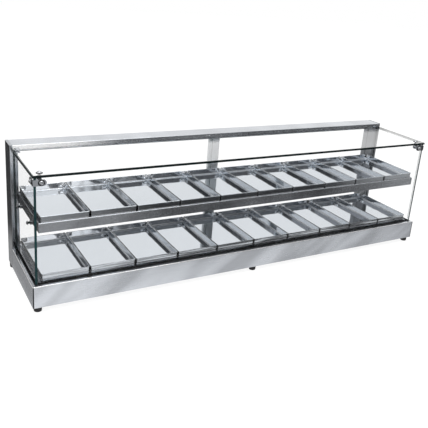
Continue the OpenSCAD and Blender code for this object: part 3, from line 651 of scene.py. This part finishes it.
class CASE_OT_sheet(bpy.types.Operator):
    """Give the base, frame, shelf and covers their sheet finishes"""

    bl_idname = "display_case.sheet"
    bl_label = "Sheet finishes"

    def execute(self, context):
        look = context.scene.case_finishes
        base_low, base_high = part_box("base_shell")
        # Painted dark reflection: dark lines at both ends of the base's front and rear faces, where the bent corners
        # reflect dark
        corners = [("X", x, 0.004, "Y") for x in (base_low.x, base_high.x)]
        splice = [("X", SPLICE_X, 0.0009, "Y")]
        # Node, finish, share of the sheet's colour, roughness added to the sheet's, details; a share other than 1 is
        # painted light or shade for how light falls on that part
        sheets = (
            (
                "base_shell",
                "brushed_base",
                1.0,
                0.04,
                {"wave": 0.002, "joint_and_bend_lines": corners, "painted_sheen": 0.34, "marks": 0.2, "bend": 0.9},
            ),
            (
                "shelf_frame",
                "brushed_shelf",
                1.0,
                0.02,
                {"wave": 0.0014, "painted_sheen": 0.12, "marks": 0.3, "bend": 0.15, "ends": 0.92},
            ),
            ("top_rail", "brushed_rail", 0.94, 0.0, {"joint_and_bend_lines": splice, "painted_sheen": 0.15, "glare": 0.85}),
            ("left_upright", "brushed_upright", 0.72, -0.02, {"grain": "Z", "wave": 0.0012}),
            ("centre_post", "satin_post", 1.2, 0.3, {"grain": "Z", "wave": 0.0012, "painted_sheen": 0.12}),
            ("right_upright", "satin_upright", 0.5, 0.2, {"grain": "Z", "wave": 0.0012, "painted_sheen": 0.3}),
        )
        # Painted light and shade: the uprights, post and rail get lighter or darker copies of the sheet colour
        for node, finish, share, rougher, details in sheets:
            colour = tuple(c * share for c in look.sheet_colour)
            dress([node], brushed_steel(finish, colour, look.sheet_roughness + rougher, **details))
        deck = tuple(c * 0.92 for c in look.pan_colour)
        dress(["lower_deck", "shelf_deck"], polished_steel("deck_sheet", deck, 0.16))
        dress(["base_bottom_cover", "shelf_bottom_cover"], galvanised_steel("galvanised_cover"))
        return {"FINISHED"}


class CASE_OT_pans(bpy.types.Operator):
    """Give the pans their polished finish"""

    bl_idname = "display_case.pans"
    bl_label = "Pan finish"

    def execute(self, context):
        look = context.scene.case_finishes
        first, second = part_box(PANS[0]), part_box(PANS[1])
        pitch = second[0].x - first[0].x
        joint = (first[1].x + second[0].x) / 2
        row = (joint - pitch, pitch, 0.002)
        colour, rough = tuple(look.pan_colour), look.pan_roughness
        for tier, front_lines, side_lean in (("lower", 0.85, WALL_LEAN), ("upper", 0.05, 0.04)):
            pans = [p for p in PANS if tier in p]
            low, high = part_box(pans[0])
            finish = pan_steel(f"pan_polish_{tier}", colour, rough, row, low, high, front_lines, side_lean)
            dress(pans, finish)
        return {"FINISHED"}


class CASE_OT_glass(bpy.types.Operator):
    """Give the panes and the doors their glass"""

    bl_idname = "display_case.glass"
    bl_label = "Glass"

    def execute(self, context):
        look = context.scene.case_finishes
        tint, edge = tuple(look.glass_tint), tuple(look.glass_edge)
        # Painted shade and light on the ground edges: the top pane's edge colour is darkened, the right end pane's
        # made a paler grey
        dark = tuple(c * 0.2 for c in edge)
        grey = (0.08, 0.095, 0.1)
        low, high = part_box("top_glass")
        border = (high.x, low.y, 0.0042)
        dress(["top_glass"], clear_glass("glass_top", "Z", tint, dark, shine=2.0, border=border))
        dress(["front_glass"], clear_glass("glass_front", "Y", tint, edge, shine=0.35))
        dress(["left_end_glass"], clear_glass("glass_end", "X", tint, edge, shine=0.3))
        dress(["right_end_glass"], clear_glass("glass_right_end", "X", tint, grey, shine=0.3))
        dress(["left_door", "right_door"], clear_glass("glass_door", "Y", tint, edge, shine=0.25))
        return {"FINISHED"}


class CASE_OT_fittings(bpy.types.Operator):
    """Give clamps, bolts, clips, tracks, heaters and controls their finishes"""

    bl_idname = "display_case.fittings"
    bl_label = "Fittings"

    def execute(self, context):
        # Nodes, finish, colour, roughness, height of the waves
        metals = (
            (["left_door_pull", "right_door_pull"], "chrome_fittings", (0.76, 0.77, 0.79), 0.05, 0.0001),
            (["corner_clamp_screws"], "screw_steel", (0.46, 0.47, 0.49), 0.08, 0.0001),
            (
                ["left_corner_clamp", "right_corner_clamp", "corner_clamp_arms"],
                "clamp_plates",
                (0.27, 0.28, 0.3),
                0.22,
                0.0006,
            ),
            (["shelf_bolts", "shelf_spacers"], "bolt_steel", (0.16, 0.165, 0.175), 0.2, 0.0002),
            (["lower_heater", "upper_heater"], "heater_tube", (0.2, 0.19, 0.18), 0.38, 0.0004),
            (["top_glass_clips"], "clip_steel", (0.6, 0.62, 0.65), 0.2, 0.0004),
        )
        for nodes, finish, colour, rough, wave in metals:
            dress(nodes, polished_steel(finish, colour, rough, wave))
        dress(["upper_door_track", "lower_door_track"], brushed_steel("anodised_track", (0.5, 0.51, 0.52), 0.3))
        dress(["heater_clips"], galvanised_steel("galvanised_clip"))
        dress(["lower_thermostat", "upper_thermostat"], galvanised_steel("thermostat_case"))
        # Nodes, finish, colour, roughness, grain per metre, depth of the grain, clear coat
        mouldings = (
            (["rubber_feet"], "foot_rubber", (0.011, 0.011, 0.012), 0.62, 520.0, 0.0004, 0.0),
            (
                ["lower_thermostat_knob", "upper_thermostat_knob", "power_switch", "cable_gland"],
                "black_plastic",
                (0.016, 0.016, 0.018),
                0.36,
                320.0,
                0.0002,
                0.0,
            ),
            (["power_switch_rocker"], "red_plastic", (0.42, 0.012, 0.014), 0.24, 260.0, 0.0001, 0.3),
            (["terminal_block"], "ceramic_white", (0.72, 0.69, 0.62), 0.34, 180.0, 0.0002, 0.2),
        )
        for nodes, finish, *details in mouldings:
            dress(nodes, moulded(finish, *details))
        dress(["pilot_light"], amber_lens("pilot_lens"))
        return {"FINISHED"}


# Geometry node helpers


def points_mesh(name, places):
    """A mesh of loose points, each with the direction that its piece faces."""
    mesh = bpy.data.meshes.new(name)
    mesh.from_pydata([p for p, _ in places], [], [])
    facing = mesh.attributes.new("facing", "FLOAT_VECTOR", "POINT")
    facing.data.foreach_set("vector", [c for _, d in places for c in d])
    return mesh


def path_mesh(name, places):
    """A mesh of one open line through the places."""
    mesh = bpy.data.meshes.new(name)
    mesh.from_pydata(places, [(i, i + 1) for i in range(len(places) - 1)], [])
    return mesh


def group(name, inputs):
    """A geometry node tree with a geometry input, named inputs and a geometry output."""
    tree = bpy.data.node_groups.new(name, "GeometryNodeTree")
    tree.interface.new_socket("Geometry", in_out="INPUT", socket_type="NodeSocketGeometry")
    for label, kind in inputs:
        tree.interface.new_socket(label, in_out="INPUT", socket_type=kind)
    tree.interface.new_socket("Geometry", in_out="OUTPUT", socket_type="NodeSocketGeometry")
    return tree, tree.nodes.new("NodeGroupInput"), tree.nodes.new("NodeGroupOutput")


def grown(name, mesh, tree, values, body):
    """Runs a tree on a mesh, keeps the result as a plain mesh and lets it ride on a body."""
    host = bpy.data.objects.new(name + "_host", mesh)
    bpy.context.scene.collection.objects.link(host)
    modifier = host.modifiers.new("grow", "NODES")
    modifier.node_group = tree
    for item in tree.interface.items_tree:
        if item.item_type == "SOCKET" and item.in_out == "INPUT" and item.name in values:
            modifier[item.identifier] = values[item.name]
    bpy.context.view_layer.update()
    graph = bpy.context.evaluated_depsgraph_get()
    result = bpy.data.meshes.new_from_object(host.evaluated_get(graph))
    if not result.polygons:
        raise RuntimeError(f"{name} came out empty")
    host.modifiers.remove(modifier)
    bpy.data.objects.remove(host)
    result.name = name
    piece = bpy.data.objects.new(name, result)
    bpy.context.scene.collection.objects.link(piece)
    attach(piece, body)


def closing(tree, geometry, material_socket, out):
    """Ends a tree: instances made real, shaded smooth and given their material."""
    real = add(tree, "GeometryNodeRealizeInstances", {0: geometry})
    smooth = add(tree, "GeometryNodeSetShadeSmooth", {0: real.outputs[0]})
    dressed = add(tree, "GeometryNodeSetMaterial", {0: smooth.outputs[0], "Material": material_socket})
    tree.links.new(dressed.outputs[0], out.inputs[0])


def facing_copies(tree, given, shape, out):
    """Ends a tree with a copy of the shape on each point, turned to where the point faces."""
    facing = add(tree, "GeometryNodeInputNamedAttribute", {"Name": "facing"}, data_type="FLOAT_VECTOR")
    aim = add(tree, "FunctionNodeAlignRotationToVector", {"Vector": facing.outputs[0]}, axis="Z")
    copies = add(
        tree,
        "GeometryNodeInstanceOnPoints",
        {0: given.outputs["Geometry"], "Instance": shape, "Rotation": aim.outputs[0]},
    )
    closing(tree, copies.outputs[0], given.outputs["Material"], out)


def bead_tree():
    """A round bead along a path."""
    tree, given, out = group("glazing_bead", [("Radius", "NodeSocketFloat"), ("Material", "NodeSocketMaterial")])
    line = add(tree, "GeometryNodeMeshToCurve", {0: given.outputs["Geometry"]})
    ring = add(tree, "GeometryNodeCurvePrimitiveCircle", {"Resolution": 10, "Radius": given.outputs["Radius"]})
    swept = add(tree, "GeometryNodeCurveToMesh", {0: line.outputs[0], 1: ring.outputs[0], "Fill Caps": True})
    closing(tree, swept.outputs[0], given.outputs["Material"], out)
    return tree


def head_tree(name, recess):
    """Domed heads on points, each with a flange, and with a crossed recess if asked for."""
    tree, given, out = group(name, [("Diameter", "NodeSocketFloat"), ("Material", "NodeSocketMaterial")])
    radius = times(tree, given.outputs["Diameter"], 0.5)
    flange = add(
        tree,
        "GeometryNodeMeshCone",
        {
            "Vertices": 20,
            "Radius Bottom": radius,
            "Radius Top": times(tree, radius, 0.9),
            "Depth": times(tree, radius, 0.2),
        },
    )
    dome = add(tree, "GeometryNodeMeshUVSphere", {"Segments": 20, "Rings": 10, "Radius": radius})
    flat = add(tree, "GeometryNodeTransform", {0: dome.outputs[0], "Scale": (0.82, 0.82, 0.42)})
    joined = add(tree, "GeometryNodeJoinGeometry")
    tree.links.new(flange.outputs[0], joined.inputs[0])
    tree.links.new(flat.outputs[0], joined.inputs[0])
    head = joined.outputs[0]
    if recess:
        sizes = {0: times(tree, radius, 0.9), 1: times(tree, radius, 0.2), 2: times(tree, radius, 0.5)}
        bar = add(tree, "ShaderNodeCombineXYZ", sizes)
        lift = add(tree, "ShaderNodeCombineXYZ", {2: times(tree, radius, 0.42)})
        for turn in (0.0, math.pi / 2):
            block = add(tree, "GeometryNodeMeshCube", {"Size": bar.outputs[0]})
            placed = add(
                tree,
                "GeometryNodeTransform",
                {0: block.outputs[0], "Translation": lift.outputs[0], "Rotation": (0.0, 0.0, turn)},
            )
            carve = add(tree, "GeometryNodeMeshBoolean", operation="DIFFERENCE")
            tree.links.new(head, carve.inputs[0])
            tree.links.new(placed.outputs[0], carve.inputs[1])
            head = carve.outputs[0]
    facing_copies(tree, given, head, out)
    return tree


def ring_tree(name):
    """Blocks in a ring or arc about a point, facing along +Y: marks of a dial or ribs of a grip."""
    tree, given, out = group(
        name,
        [
            ("Count", "NodeSocketInt"),
            ("Start", "NodeSocketFloat"),
            ("Sweep", "NodeSocketFloat"),
            ("Radius", "NodeSocketFloat"),
            ("Block", "NodeSocketVector"),
            ("Material", "NodeSocketMaterial"),
        ],
    )
    step = calc(tree, "DIVIDE", given.outputs["Sweep"], calc(tree, "SUBTRACT", given.outputs["Count"], 1.0))
    line = add(tree, "GeometryNodeMeshLine", {"Count": given.outputs["Count"]})
    index = add(tree, "GeometryNodeInputIndex")
    angle = calc(tree, "ADD", given.outputs["Start"], times(tree, index.outputs[0], step))
    radius = given.outputs["Radius"]
    spot = add(
        tree,
        "ShaderNodeCombineXYZ",
        {0: times(tree, calc(tree, "SINE", angle), radius), 2: times(tree, calc(tree, "COSINE", angle), radius)},
    )
    placed = add(tree, "GeometryNodeSetPosition", {0: line.outputs[0], "Position": spot.outputs[0]})
    turn = add(tree, "ShaderNodeCombineXYZ", {1: angle})
    block = add(tree, "GeometryNodeMeshCube", {"Size": given.outputs["Block"]})
    blocks = add(
        tree,
        "GeometryNodeInstanceOnPoints",
        {0: placed.outputs[0], "Instance": block.outputs[0], "Rotation": turn.outputs[0]},
    )
    ring = add(
        tree,
        "GeometryNodeInstanceOnPoints",
        {0: given.outputs["Geometry"], "Instance": blocks.outputs[0]},
    )
    closing(tree, ring.outputs[0], given.outputs["Material"], out)
    return tree


def washer_tree():
    """Round washers on points, each lying across the direction that its point faces."""
    tree, given, out = group(
        "washers",
        [("Radius", "NodeSocketFloat"), ("Thickness", "NodeSocketFloat"), ("Material", "NodeSocketMaterial")],
    )
    ring = add(tree, "GeometryNodeCurvePrimitiveCircle", {"Resolution": 40, "Radius": given.outputs["Radius"]})
    cord = add(tree, "GeometryNodeCurvePrimitiveCircle", {"Resolution": 8, "Radius": given.outputs["Thickness"]})
    swept = add(tree, "GeometryNodeCurveToMesh", {0: ring.outputs[0], 1: cord.outputs[0]})
    facing_copies(tree, given, swept.outputs[0], out)
    return tree


class CASE_OT_beads(bpy.types.Operator):
    """Add the glazing beads along the panes' feet"""

    bl_idname = "display_case.beads"
    bl_label = "Glazing beads"

    def execute(self, context):
        trim = context.scene.case_trim
        left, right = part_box("left_end_glass"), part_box("right_end_glass")
        if abs(left[0].x + right[1].x) > 1e-5:
            raise RuntimeError("the end panes aren't mirror images")
        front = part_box("front_glass")
        foot, rear = front[0].z, left[1].y
        rubber = moulded("bead_rubber", (0.02, 0.021, 0.023), 0.42, 300.0, 0.0003)
        tree = bead_tree()
        for name, radius, out in (
            ("outer_glazing_bead", trim.outer_bead, 1),
            ("inner_glazing_bead", trim.inner_bead, -1),
        ):
            x = (left[0].x if out > 0 else left[1].x) - out * radius
            y = (front[0].y if out > 0 else front[1].y) - out * radius
            z = foot + radius
            path = [(x, rear, z), (x, y, z), (-x, y, z), (-x, rear, z)]
            values = {"Radius": radius, "Material": rubber}
            grown(name, path_mesh(name, path), tree, values, "case")
        return {"FINISHED"}


class CASE_OT_fasteners(bpy.types.Operator):
    """Add the rail's rivets and the screws of the post and the covers"""

    bl_idname = "display_case.fasteners"
    bl_label = "Rivets and screws"

    def execute(self, context):
        trim = context.scene.case_trim
        rail_low, rail_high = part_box("top_rail")
        steel = polished_steel("fastener_steel", (0.74, 0.75, 0.77), 0.12, 0.0)
        beside_splice, under_top = 0.0055, 0.007
        height = rail_high.z - under_top
        rivets = [((SPLICE_X + s * beside_splice, rail_low.y, height), (0, -1, 0)) for s in (-1, 1)]
        post_low, post_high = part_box("centre_post")
        middle, web = (post_low.x + post_high.x) / 2, 0.0015
        near_end, further_up = 0.014, 0.044
        heights = (post_low.z + near_end, post_low.z + further_up, post_high.z - near_end)
        screws = [((middle, post_low.y + web, z), (0, 1, 0)) for z in heights]
        # The node they go into from below, their distance from its front and rear, their places along it
        rows = (
            ("base_shell", 0.0065, (-0.8, -0.4, 0.2, 0.45, 0.8)),
            ("shelf_bottom_cover", 0.03, (-0.84, -0.42, 0.0, 0.42, 0.84)),
        )
        for node, inset, places in rows:
            low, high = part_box(node)
            for y in (low.y + inset, high.y - inset):
                screws += [((x, y, low.z), (0, 0, -1)) for x in places]
        for name, spots, tree, diameter in (
            ("rail_rivets", rivets, head_tree("domed_rivet", False), trim.rivet_diameter),
            ("cover_screws", screws, head_tree("cross_screw", True), trim.screw_diameter),
        ):
            values = {"Diameter": diameter, "Material": steel}
            grown(name, points_mesh(name, spots), tree, values, "case")
        return {"FINISHED"}


class CASE_OT_washers(bpy.types.Operator):
    """Add the black washers round the domed heads of the clamp screws"""

    bl_idname = "display_case.washers"
    bl_label = "Washers"

    def execute(self, context):
        trim = context.scene.case_trim
        rubber = moulded("washer_rubber", (0.012, 0.012, 0.014), 0.4, 300.0, 0.0002)
        tree = washer_tree()
        clamp_low, clamp_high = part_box("left_corner_clamp")
        screws_low, screws_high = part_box("corner_clamp_screws")
        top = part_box("top_glass")[1].z
        head = screws_high.z - top
        height = (clamp_low.z + clamp_high.z) / 2
        end_high, front_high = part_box("left_end_glass")[1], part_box("front_glass")[1]
        reach = end_high.z - height
        x, y = end_high.x + reach, front_high.y + reach
        spots = []
        for side in (1, -1):
            spots += [
                ((side * x, y, top), (0, 0, 1)),
                ((side * x, clamp_low.y, height), (0, -1, 0)),
                ((side * clamp_low.x, y, height), (-side, 0, 0)),
            ]
        if head <= 0 or clamp_low.y - screws_low.y < head * 0.9:
            raise RuntimeError("the clamp screws don't stand on the plates")
        radius = trim.clamp_head / 2 + trim.washer
        values = {"Radius": radius, "Thickness": trim.washer, "Material": rubber}
        grown("clamp_washers", points_mesh("clamp_washers", spots), tree, values, "case")
        return {"FINISHED"}


class CASE_OT_dials(bpy.types.Operator):
    """Add the dial marks, the knobs' grip ribs and pointers and the switch's marks"""

    bl_idname = "display_case.dials"
    bl_label = "Dials"

    def execute(self, context):
        trim = context.scene.case_trim
        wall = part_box("base_shell")[1].y
        ink = moulded("dial_ink", (0.015, 0.015, 0.017), 0.5)
        white = moulded("pointer_paint", (0.78, 0.78, 0.76), 0.4)
        black = bpy.data.materials["black_plastic"]
        marks = ring_tree("dial_marks")
        ribs = ring_tree("grip_ribs")
        tick_length, rib_sunk, rib_middle = 0.0042, 0.0001, 0.0024
        for node, body in CONTROL_KNOBS.items():
            low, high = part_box(node)
            middle = (low + high) / 2
            skirt = (high.x - low.x) / 2
            tick = {
                "Count": trim.dial_ticks,
                "Start": math.radians(-135),
                "Sweep": math.radians(270),
                "Radius": skirt + tick_length,
                "Block": Vector((0.0009, 0.0004, tick_length)),
                "Material": ink,
            }
            spot = [((middle.x, wall, middle.z), (0, 1, 0))]
            grown(node + "_dial", points_mesh(node + "_dial", spot), marks, tick, "case")
            rib = {
                "Count": trim.grip_ribs + 1,
                "Start": 0.0,
                "Sweep": math.tau,
                "Radius": skirt - rib_sunk,
                "Block": Vector((0.0014, 0.0036, 0.001)),
                "Material": black,
            }
            spot = [((middle.x, low.y + rib_middle, middle.z), (0, 1, 0))]
            grown(node + "_ribs", points_mesh(node + "_ribs", spot), ribs, rib, body)
            stripe(node + "_pointer", Vector((middle.x, high.y, middle.z + skirt * 0.5)), white, body)
        switch_marks(white)
        return {"FINISHED"}


def plain_piece(name, shape, material, body):
    """A piece from a bmesh that is already in place."""
    bmesh.ops.recalc_face_normals(shape, faces=shape.faces)
    mesh = bpy.data.meshes.new(name)
    shape.to_mesh(mesh)
    shape.free()
    mesh.materials.append(material)
    piece = bpy.data.objects.new(name, mesh)
    bpy.context.scene.collection.objects.link(piece)
    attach(piece, body)


def slab(shape, size, place, bevel):
    """A block with softened edges, added to a bmesh."""
    made = bmesh.ops.create_cube(shape, size=1.0, matrix=place @ Matrix.Diagonal((*size, 1.0)))
    edges = list({e for v in made["verts"] for e in v.link_edges})
    bmesh.ops.bevel(shape, geom=edges, offset=bevel, segments=2, profile=0.5, affect="EDGES")


def stripe(name, place, material, body):
    """The pointer line on a knob's grip bar."""
    sunk, softened = 0.0001, 0.00008
    shape = bmesh.new()
    slab(shape, (0.0016, 0.0003, 0.013), Matrix.Translation(place - Vector((0, sunk, 0))), softened)
    plain_piece(name, shape, material, body)


def switch_marks(material):
    """A bar and a ring on the two faces of the rocker."""
    joint = next(j for j in frame["joints"] if j["child"] == "rocker")
    pivot = Vector(joint["pos_m"])
    tilt = math.radians(9)
    crest, proud, reach = 0.006, 0.0001, 0.0058
    ring_radius, ring_parts, softened = 0.0022, 24, 0.00006
    shape = bmesh.new()
    for end in (1, -1):
        slope = Matrix.Rotation(tilt, 4, "X") @ Matrix.Translation((0, crest, 0))
        face = Matrix.Translation(pivot) @ slope @ Matrix.Rotation(end * tilt, 4, "X")
        middle = face @ Matrix.Translation((0, proud, end * reach))
        if end > 0:
            slab(shape, (0.0011, 0.0003, 0.0048), middle, softened)
        else:
            for i in range(ring_parts):
                turn = Matrix.Rotation(math.tau * i / ring_parts, 4, "Y")
                spot = middle @ turn @ Matrix.Translation((0, 0, ring_radius))
                slab(shape, (0.0009, 0.0003, 0.0007), spot, softened)
    plain_piece("rocker_marks", shape, material, "rocker")


# Stage


def stage_material(name, build):
    """A stage material from a function that returns the shader's socket."""
    material, tree, out = new_material(name)
    tree.links.new(build(tree), out.inputs[0])
    return material


def seen(tree):
    """1 for the rays that show the background: camera, glossy and transmission rays."""
    path = add(tree, "ShaderNodeLightPath")
    direct = calc(tree, "MAXIMUM", path.outputs["Is Camera Ray"], path.outputs["Is Glossy Ray"])
    return calc(tree, "MAXIMUM", direct, path.outputs["Is Transmission Ray"])


def floor_shader(tree):
    """White floor that keeps a soft part of the shadows."""
    matt = add(tree, "ShaderNodeBsdfDiffuse", {"Color": (0.9, 0.9, 0.9, 1.0)})
    glow = add(tree, "ShaderNodeEmission", {"Color": WHITE, "Strength": 1.2})
    share = times(tree, seen(tree), 0.74)
    return add(tree, "ShaderNodeMixShader", {0: share, 1: matt.outputs[0], 2: glow.outputs[0]}).outputs[0]


def card_shader(tone, ramp):
    """A flat card of a tone that fades out where the ramp says so."""

    def build(tree):
        cover = ramp(tree, parts(tree, add(tree, "ShaderNodeTexCoord").outputs["Object"]))
        board = add(tree, "ShaderNodeEmission", {"Color": (tone, tone, tone * 1.03, 1.0), "Strength": 1.0})
        clear = add(tree, "ShaderNodeBsdfTransparent")
        mixed = add(tree, "ShaderNodeMixShader", {0: cover, 1: clear.outputs[0], 2: board.outputs[0]})
        return mixed.outputs[0]

    return build


def lying(reach, z):
    """Corners of a level board about the middle."""
    return [(-reach, -reach, z), (reach, -reach, z), (reach, reach, z), (-reach, reach, z)]


def standing(x_low, x_high, y, z_low, z_high):
    """Corners of an upright board along the case."""
    return [(x_low, y, z_low), (x_high, y, z_low), (x_high, y, z_high), (x_low, y, z_high)]


def sheet_object(name, corners, material):
    """A flat stage board from its corners."""
    mesh = bpy.data.meshes.new(name)
    mesh.from_pydata(corners, [], [tuple(range(len(corners)))])
    mesh.materials.append(material)
    board = bpy.data.objects.new(name, mesh)
    bpy.context.scene.collection.objects.link(board)
    return board


def reflected_only(board):
    """Lets a board show in reflections and nowhere else."""
    for rays in ("camera", "diffuse", "transmission", "volume_scatter", "shadow"):
        setattr(board, "visible_" + rays, False)


def mixed_value(tree, factor, first, second):
    """The first value where the factor is 0, the second where it is 1."""
    return add(tree, "ShaderNodeMix", {0: factor, 2: first, 3: second}, data_type="FLOAT").outputs[0]


def table_ramp(tree, xyz):
    """Light near the case, dark from half a metre on, with a light field far out at the left of the front.

    A paler patch a metre ahead shows in the centre post. Behind the case it is dark to the left only."""
    x, y = xyz["X"], xyz["Y"]
    ahead = times(tree, y, -1.0)
    beside = times(tree, below(tree, x, CAD_BOX[0].x - 0.004), 0.68)
    near = calc(tree, "MAXIMUM", spread(tree, x, 0.18, 0.46, -1.0, 1.1), beside)
    band = spread(tree, x, 0.76, 0.99, -0.7, -0.1)
    band = calc(tree, "SUBTRACT", band, spread(tree, x, 0.0, 0.3, 1.05, 1.6))
    far = spread(tree, x, 0.04, 0.92, -0.15, 0.2)
    front = mixed_value(tree, rise(tree, ahead, 0.38, 0.72), near, band)
    front = mixed_value(tree, rise(tree, ahead, 1.05, 1.35), front, far)
    deep = times(tree, rise(tree, ahead, 1.0, 1.12), fall(tree, ahead, 1.5, 1.6))
    wide = times(tree, rise(tree, x, 0.3, 0.45), fall(tree, x, 0.9, 1.05))
    front = calc(tree, "SUBTRACT", front, times(tree, deep, wide, 0.3))
    slanted = calc(tree, "SUBTRACT", calc(tree, "SUBTRACT", y, times(tree, x, 3.0)), 2.9)
    rear = mixed_value(tree, rise(tree, slanted, 0.42, 0.75), near, 0.98)
    return mixed_value(tree, above(tree, y, 0.0), front, rear)


def front_ramp(tree, xyz):
    """Dark but for a window left of the middle."""
    return calc(tree, "MAXIMUM", fall(tree, xyz["X"], -1.1, -0.6), rise(tree, xyz["X"], 0.35, 0.85))


def rear_ramp(tree, xyz):
    """Dark, clear towards the middle and towards the left."""
    return times(tree, fall(tree, xyz["X"], -0.6, -0.36), rise(tree, xyz["X"], -1.95, -1.84))


def grey_ramp(tree, xyz):
    """Dark at the top, light towards the foot."""
    return spread(tree, xyz["Z"], 0.3, 1.0, 1.5, 1.95)


def strip_ramp(tree, xyz):
    """A dark strip that is clear at its foot and its left end, under a line that rises to the left."""
    line = calc(tree, "ADD", times(tree, xyz["X"], 0.25), xyz["Z"])
    under = fall(tree, line, 1.55, 1.61)
    return times(tree, under, rise(tree, xyz["Z"], 1.6, 1.68), rise(tree, xyz["X"], -2.45, -2.3))


class CASE_OT_stage(bpy.types.Operator):
    """Set up the floor, the reflected boards, the light and the camera"""

    bl_idname = "display_case.stage"
    bl_label = "Studio"

    def execute(self, context):
        scene, look = context.scene, context.scene.case_stage
        scene.view_settings.view_transform = "Standard"
        # A ray to the centre post and out again passes about a dozen faces of glass, more than the usual limit of 8
        scene.cycles.transparent_max_bounces = 24
        ground = CAD_BOX[0].z
        sheet_object("floor", lying(14.0, ground), stage_material("floor_white", floor_shader))
        # Board, corners, tone, where it covers
        boards = (
            ("dark_surround", lying(5.0, ground + 0.002), 0.035, table_ramp),
            ("front_flag", standing(-6.0, 7.0, -3.3, 0.4, 4.2), 0.14, front_ramp),
            ("rear_flag", standing(-6.0, -0.3, 3.3, 0.7, 3.6), 0.07, rear_ramp),
            ("rear_grey", standing(-3.4, -1.6, 3.34, 0.7, 3.6), 0.36, grey_ramp),
            ("rear_strip", standing(-2.5, -1.7, 3.32, 1.5, 2.4), 0.05, strip_ramp),
        )
        for name, corners, tone, ramp in boards:
            reflected_only(sheet_object(name, corners, stage_material(name, card_shader(tone, ramp))))
        self.light(scene, look)
        self.camera(scene, look)
        return {"FINISHED"}

    def light(self, scene, look):
        """White surroundings and one overhead softbox."""
        world = bpy.data.worlds.new("studio")
        scene.world = world
        world.use_nodes = True
        tree = world.node_tree
        tree.nodes.clear()
        out = tree.nodes.new("ShaderNodeOutputWorld")
        dim = add(tree, "ShaderNodeBackground", {"Color": WHITE, "Strength": look.ambient})
        white = add(tree, "ShaderNodeBackground", {"Color": WHITE, "Strength": 1.0})
        mixed = add(tree, "ShaderNodeMixShader", {0: seen(tree), 1: dim.outputs[0], 2: white.outputs[0]})
        tree.links.new(mixed.outputs[0], out.inputs[0])
        lamp = bpy.data.lights.new("softbox", "AREA")
        lamp.shape = "RECTANGLE"
        lamp.size, lamp.size_y = 3.0, 2.0
        lamp.energy = look.softbox_power
        softbox = bpy.data.objects.new("softbox", lamp)
        softbox.location = (-0.5, -0.6, 2.7)
        softbox.rotation_euler = (math.radians(-10), math.radians(-8), 0)
        scene.collection.objects.link(softbox)

    def camera(self, scene, look):
        """The photograph's view."""
        yaw, pitch, roll = look.camera_yaw, look.camera_pitch, look.camera_roll
        ahead = Vector((-math.sin(yaw) * math.cos(pitch), math.cos(yaw) * math.cos(pitch), math.sin(pitch)))
        right = ahead.cross(Vector((0, 0, 1))).normalized()
        up = right.cross(ahead)
        across = math.cos(roll) * right + math.sin(roll) * up
        upward = math.cos(roll) * up - math.sin(roll) * right
        lens = bpy.data.cameras.new("photograph_view")
        lens.sensor_width = 36.0
        lens.lens = look.camera_lens
        lens.shift_x, lens.shift_y = look.camera_shift
        camera = bpy.data.objects.new("photograph_view", lens)
        turn = Matrix((across, upward, -ahead)).transposed()
        camera.matrix_world = Matrix.Translation(look.camera_place) @ turn.to_4x4()
        scene.collection.objects.link(camera)
        scene.camera = camera


class CASE_PT_panel(bpy.types.Panel):
    """Lists the steps that dress the display case"""

    bl_idname = "CASE_PT_panel"
    bl_label = "Display case"
    bl_space_type = "VIEW_3D"
    bl_region_type = "UI"
    bl_category = "Display case"

    def draw(self, context):
        for step in STEPS:
            self.layout.operator(step.bl_idname)


STEPS = (
    CASE_OT_sheet,
    CASE_OT_pans,
    CASE_OT_glass,
    CASE_OT_fittings,
    CASE_OT_beads,
    CASE_OT_fasteners,
    CASE_OT_washers,
    CASE_OT_dials,
    CASE_OT_stage,
)
GROUPS = {
    "case_finishes": DisplayCaseFinishes,
    "case_trim": DisplayCaseTrim,
    "case_stage": DisplayCaseStage,
}


def register():
    for name, kind in GROUPS.items():
        bpy.utils.register_class(kind)
        setattr(bpy.types.Scene, name, PointerProperty(type=kind))
    for kind in STEPS + (CASE_PT_panel,):
        bpy.utils.register_class(kind)


def unregister():
    for kind in (CASE_PT_panel,) + STEPS[::-1]:
        bpy.utils.unregister_class(kind)
    for name, kind in GROUPS.items():
        delattr(bpy.types.Scene, name)
        bpy.utils.unregister_class(kind)


def main():
    register()
    for step in STEPS:
        family, action = step.bl_idname.split(".")
        getattr(getattr(bpy.ops, family), action)()


if __name__ == "__main__":
    main()
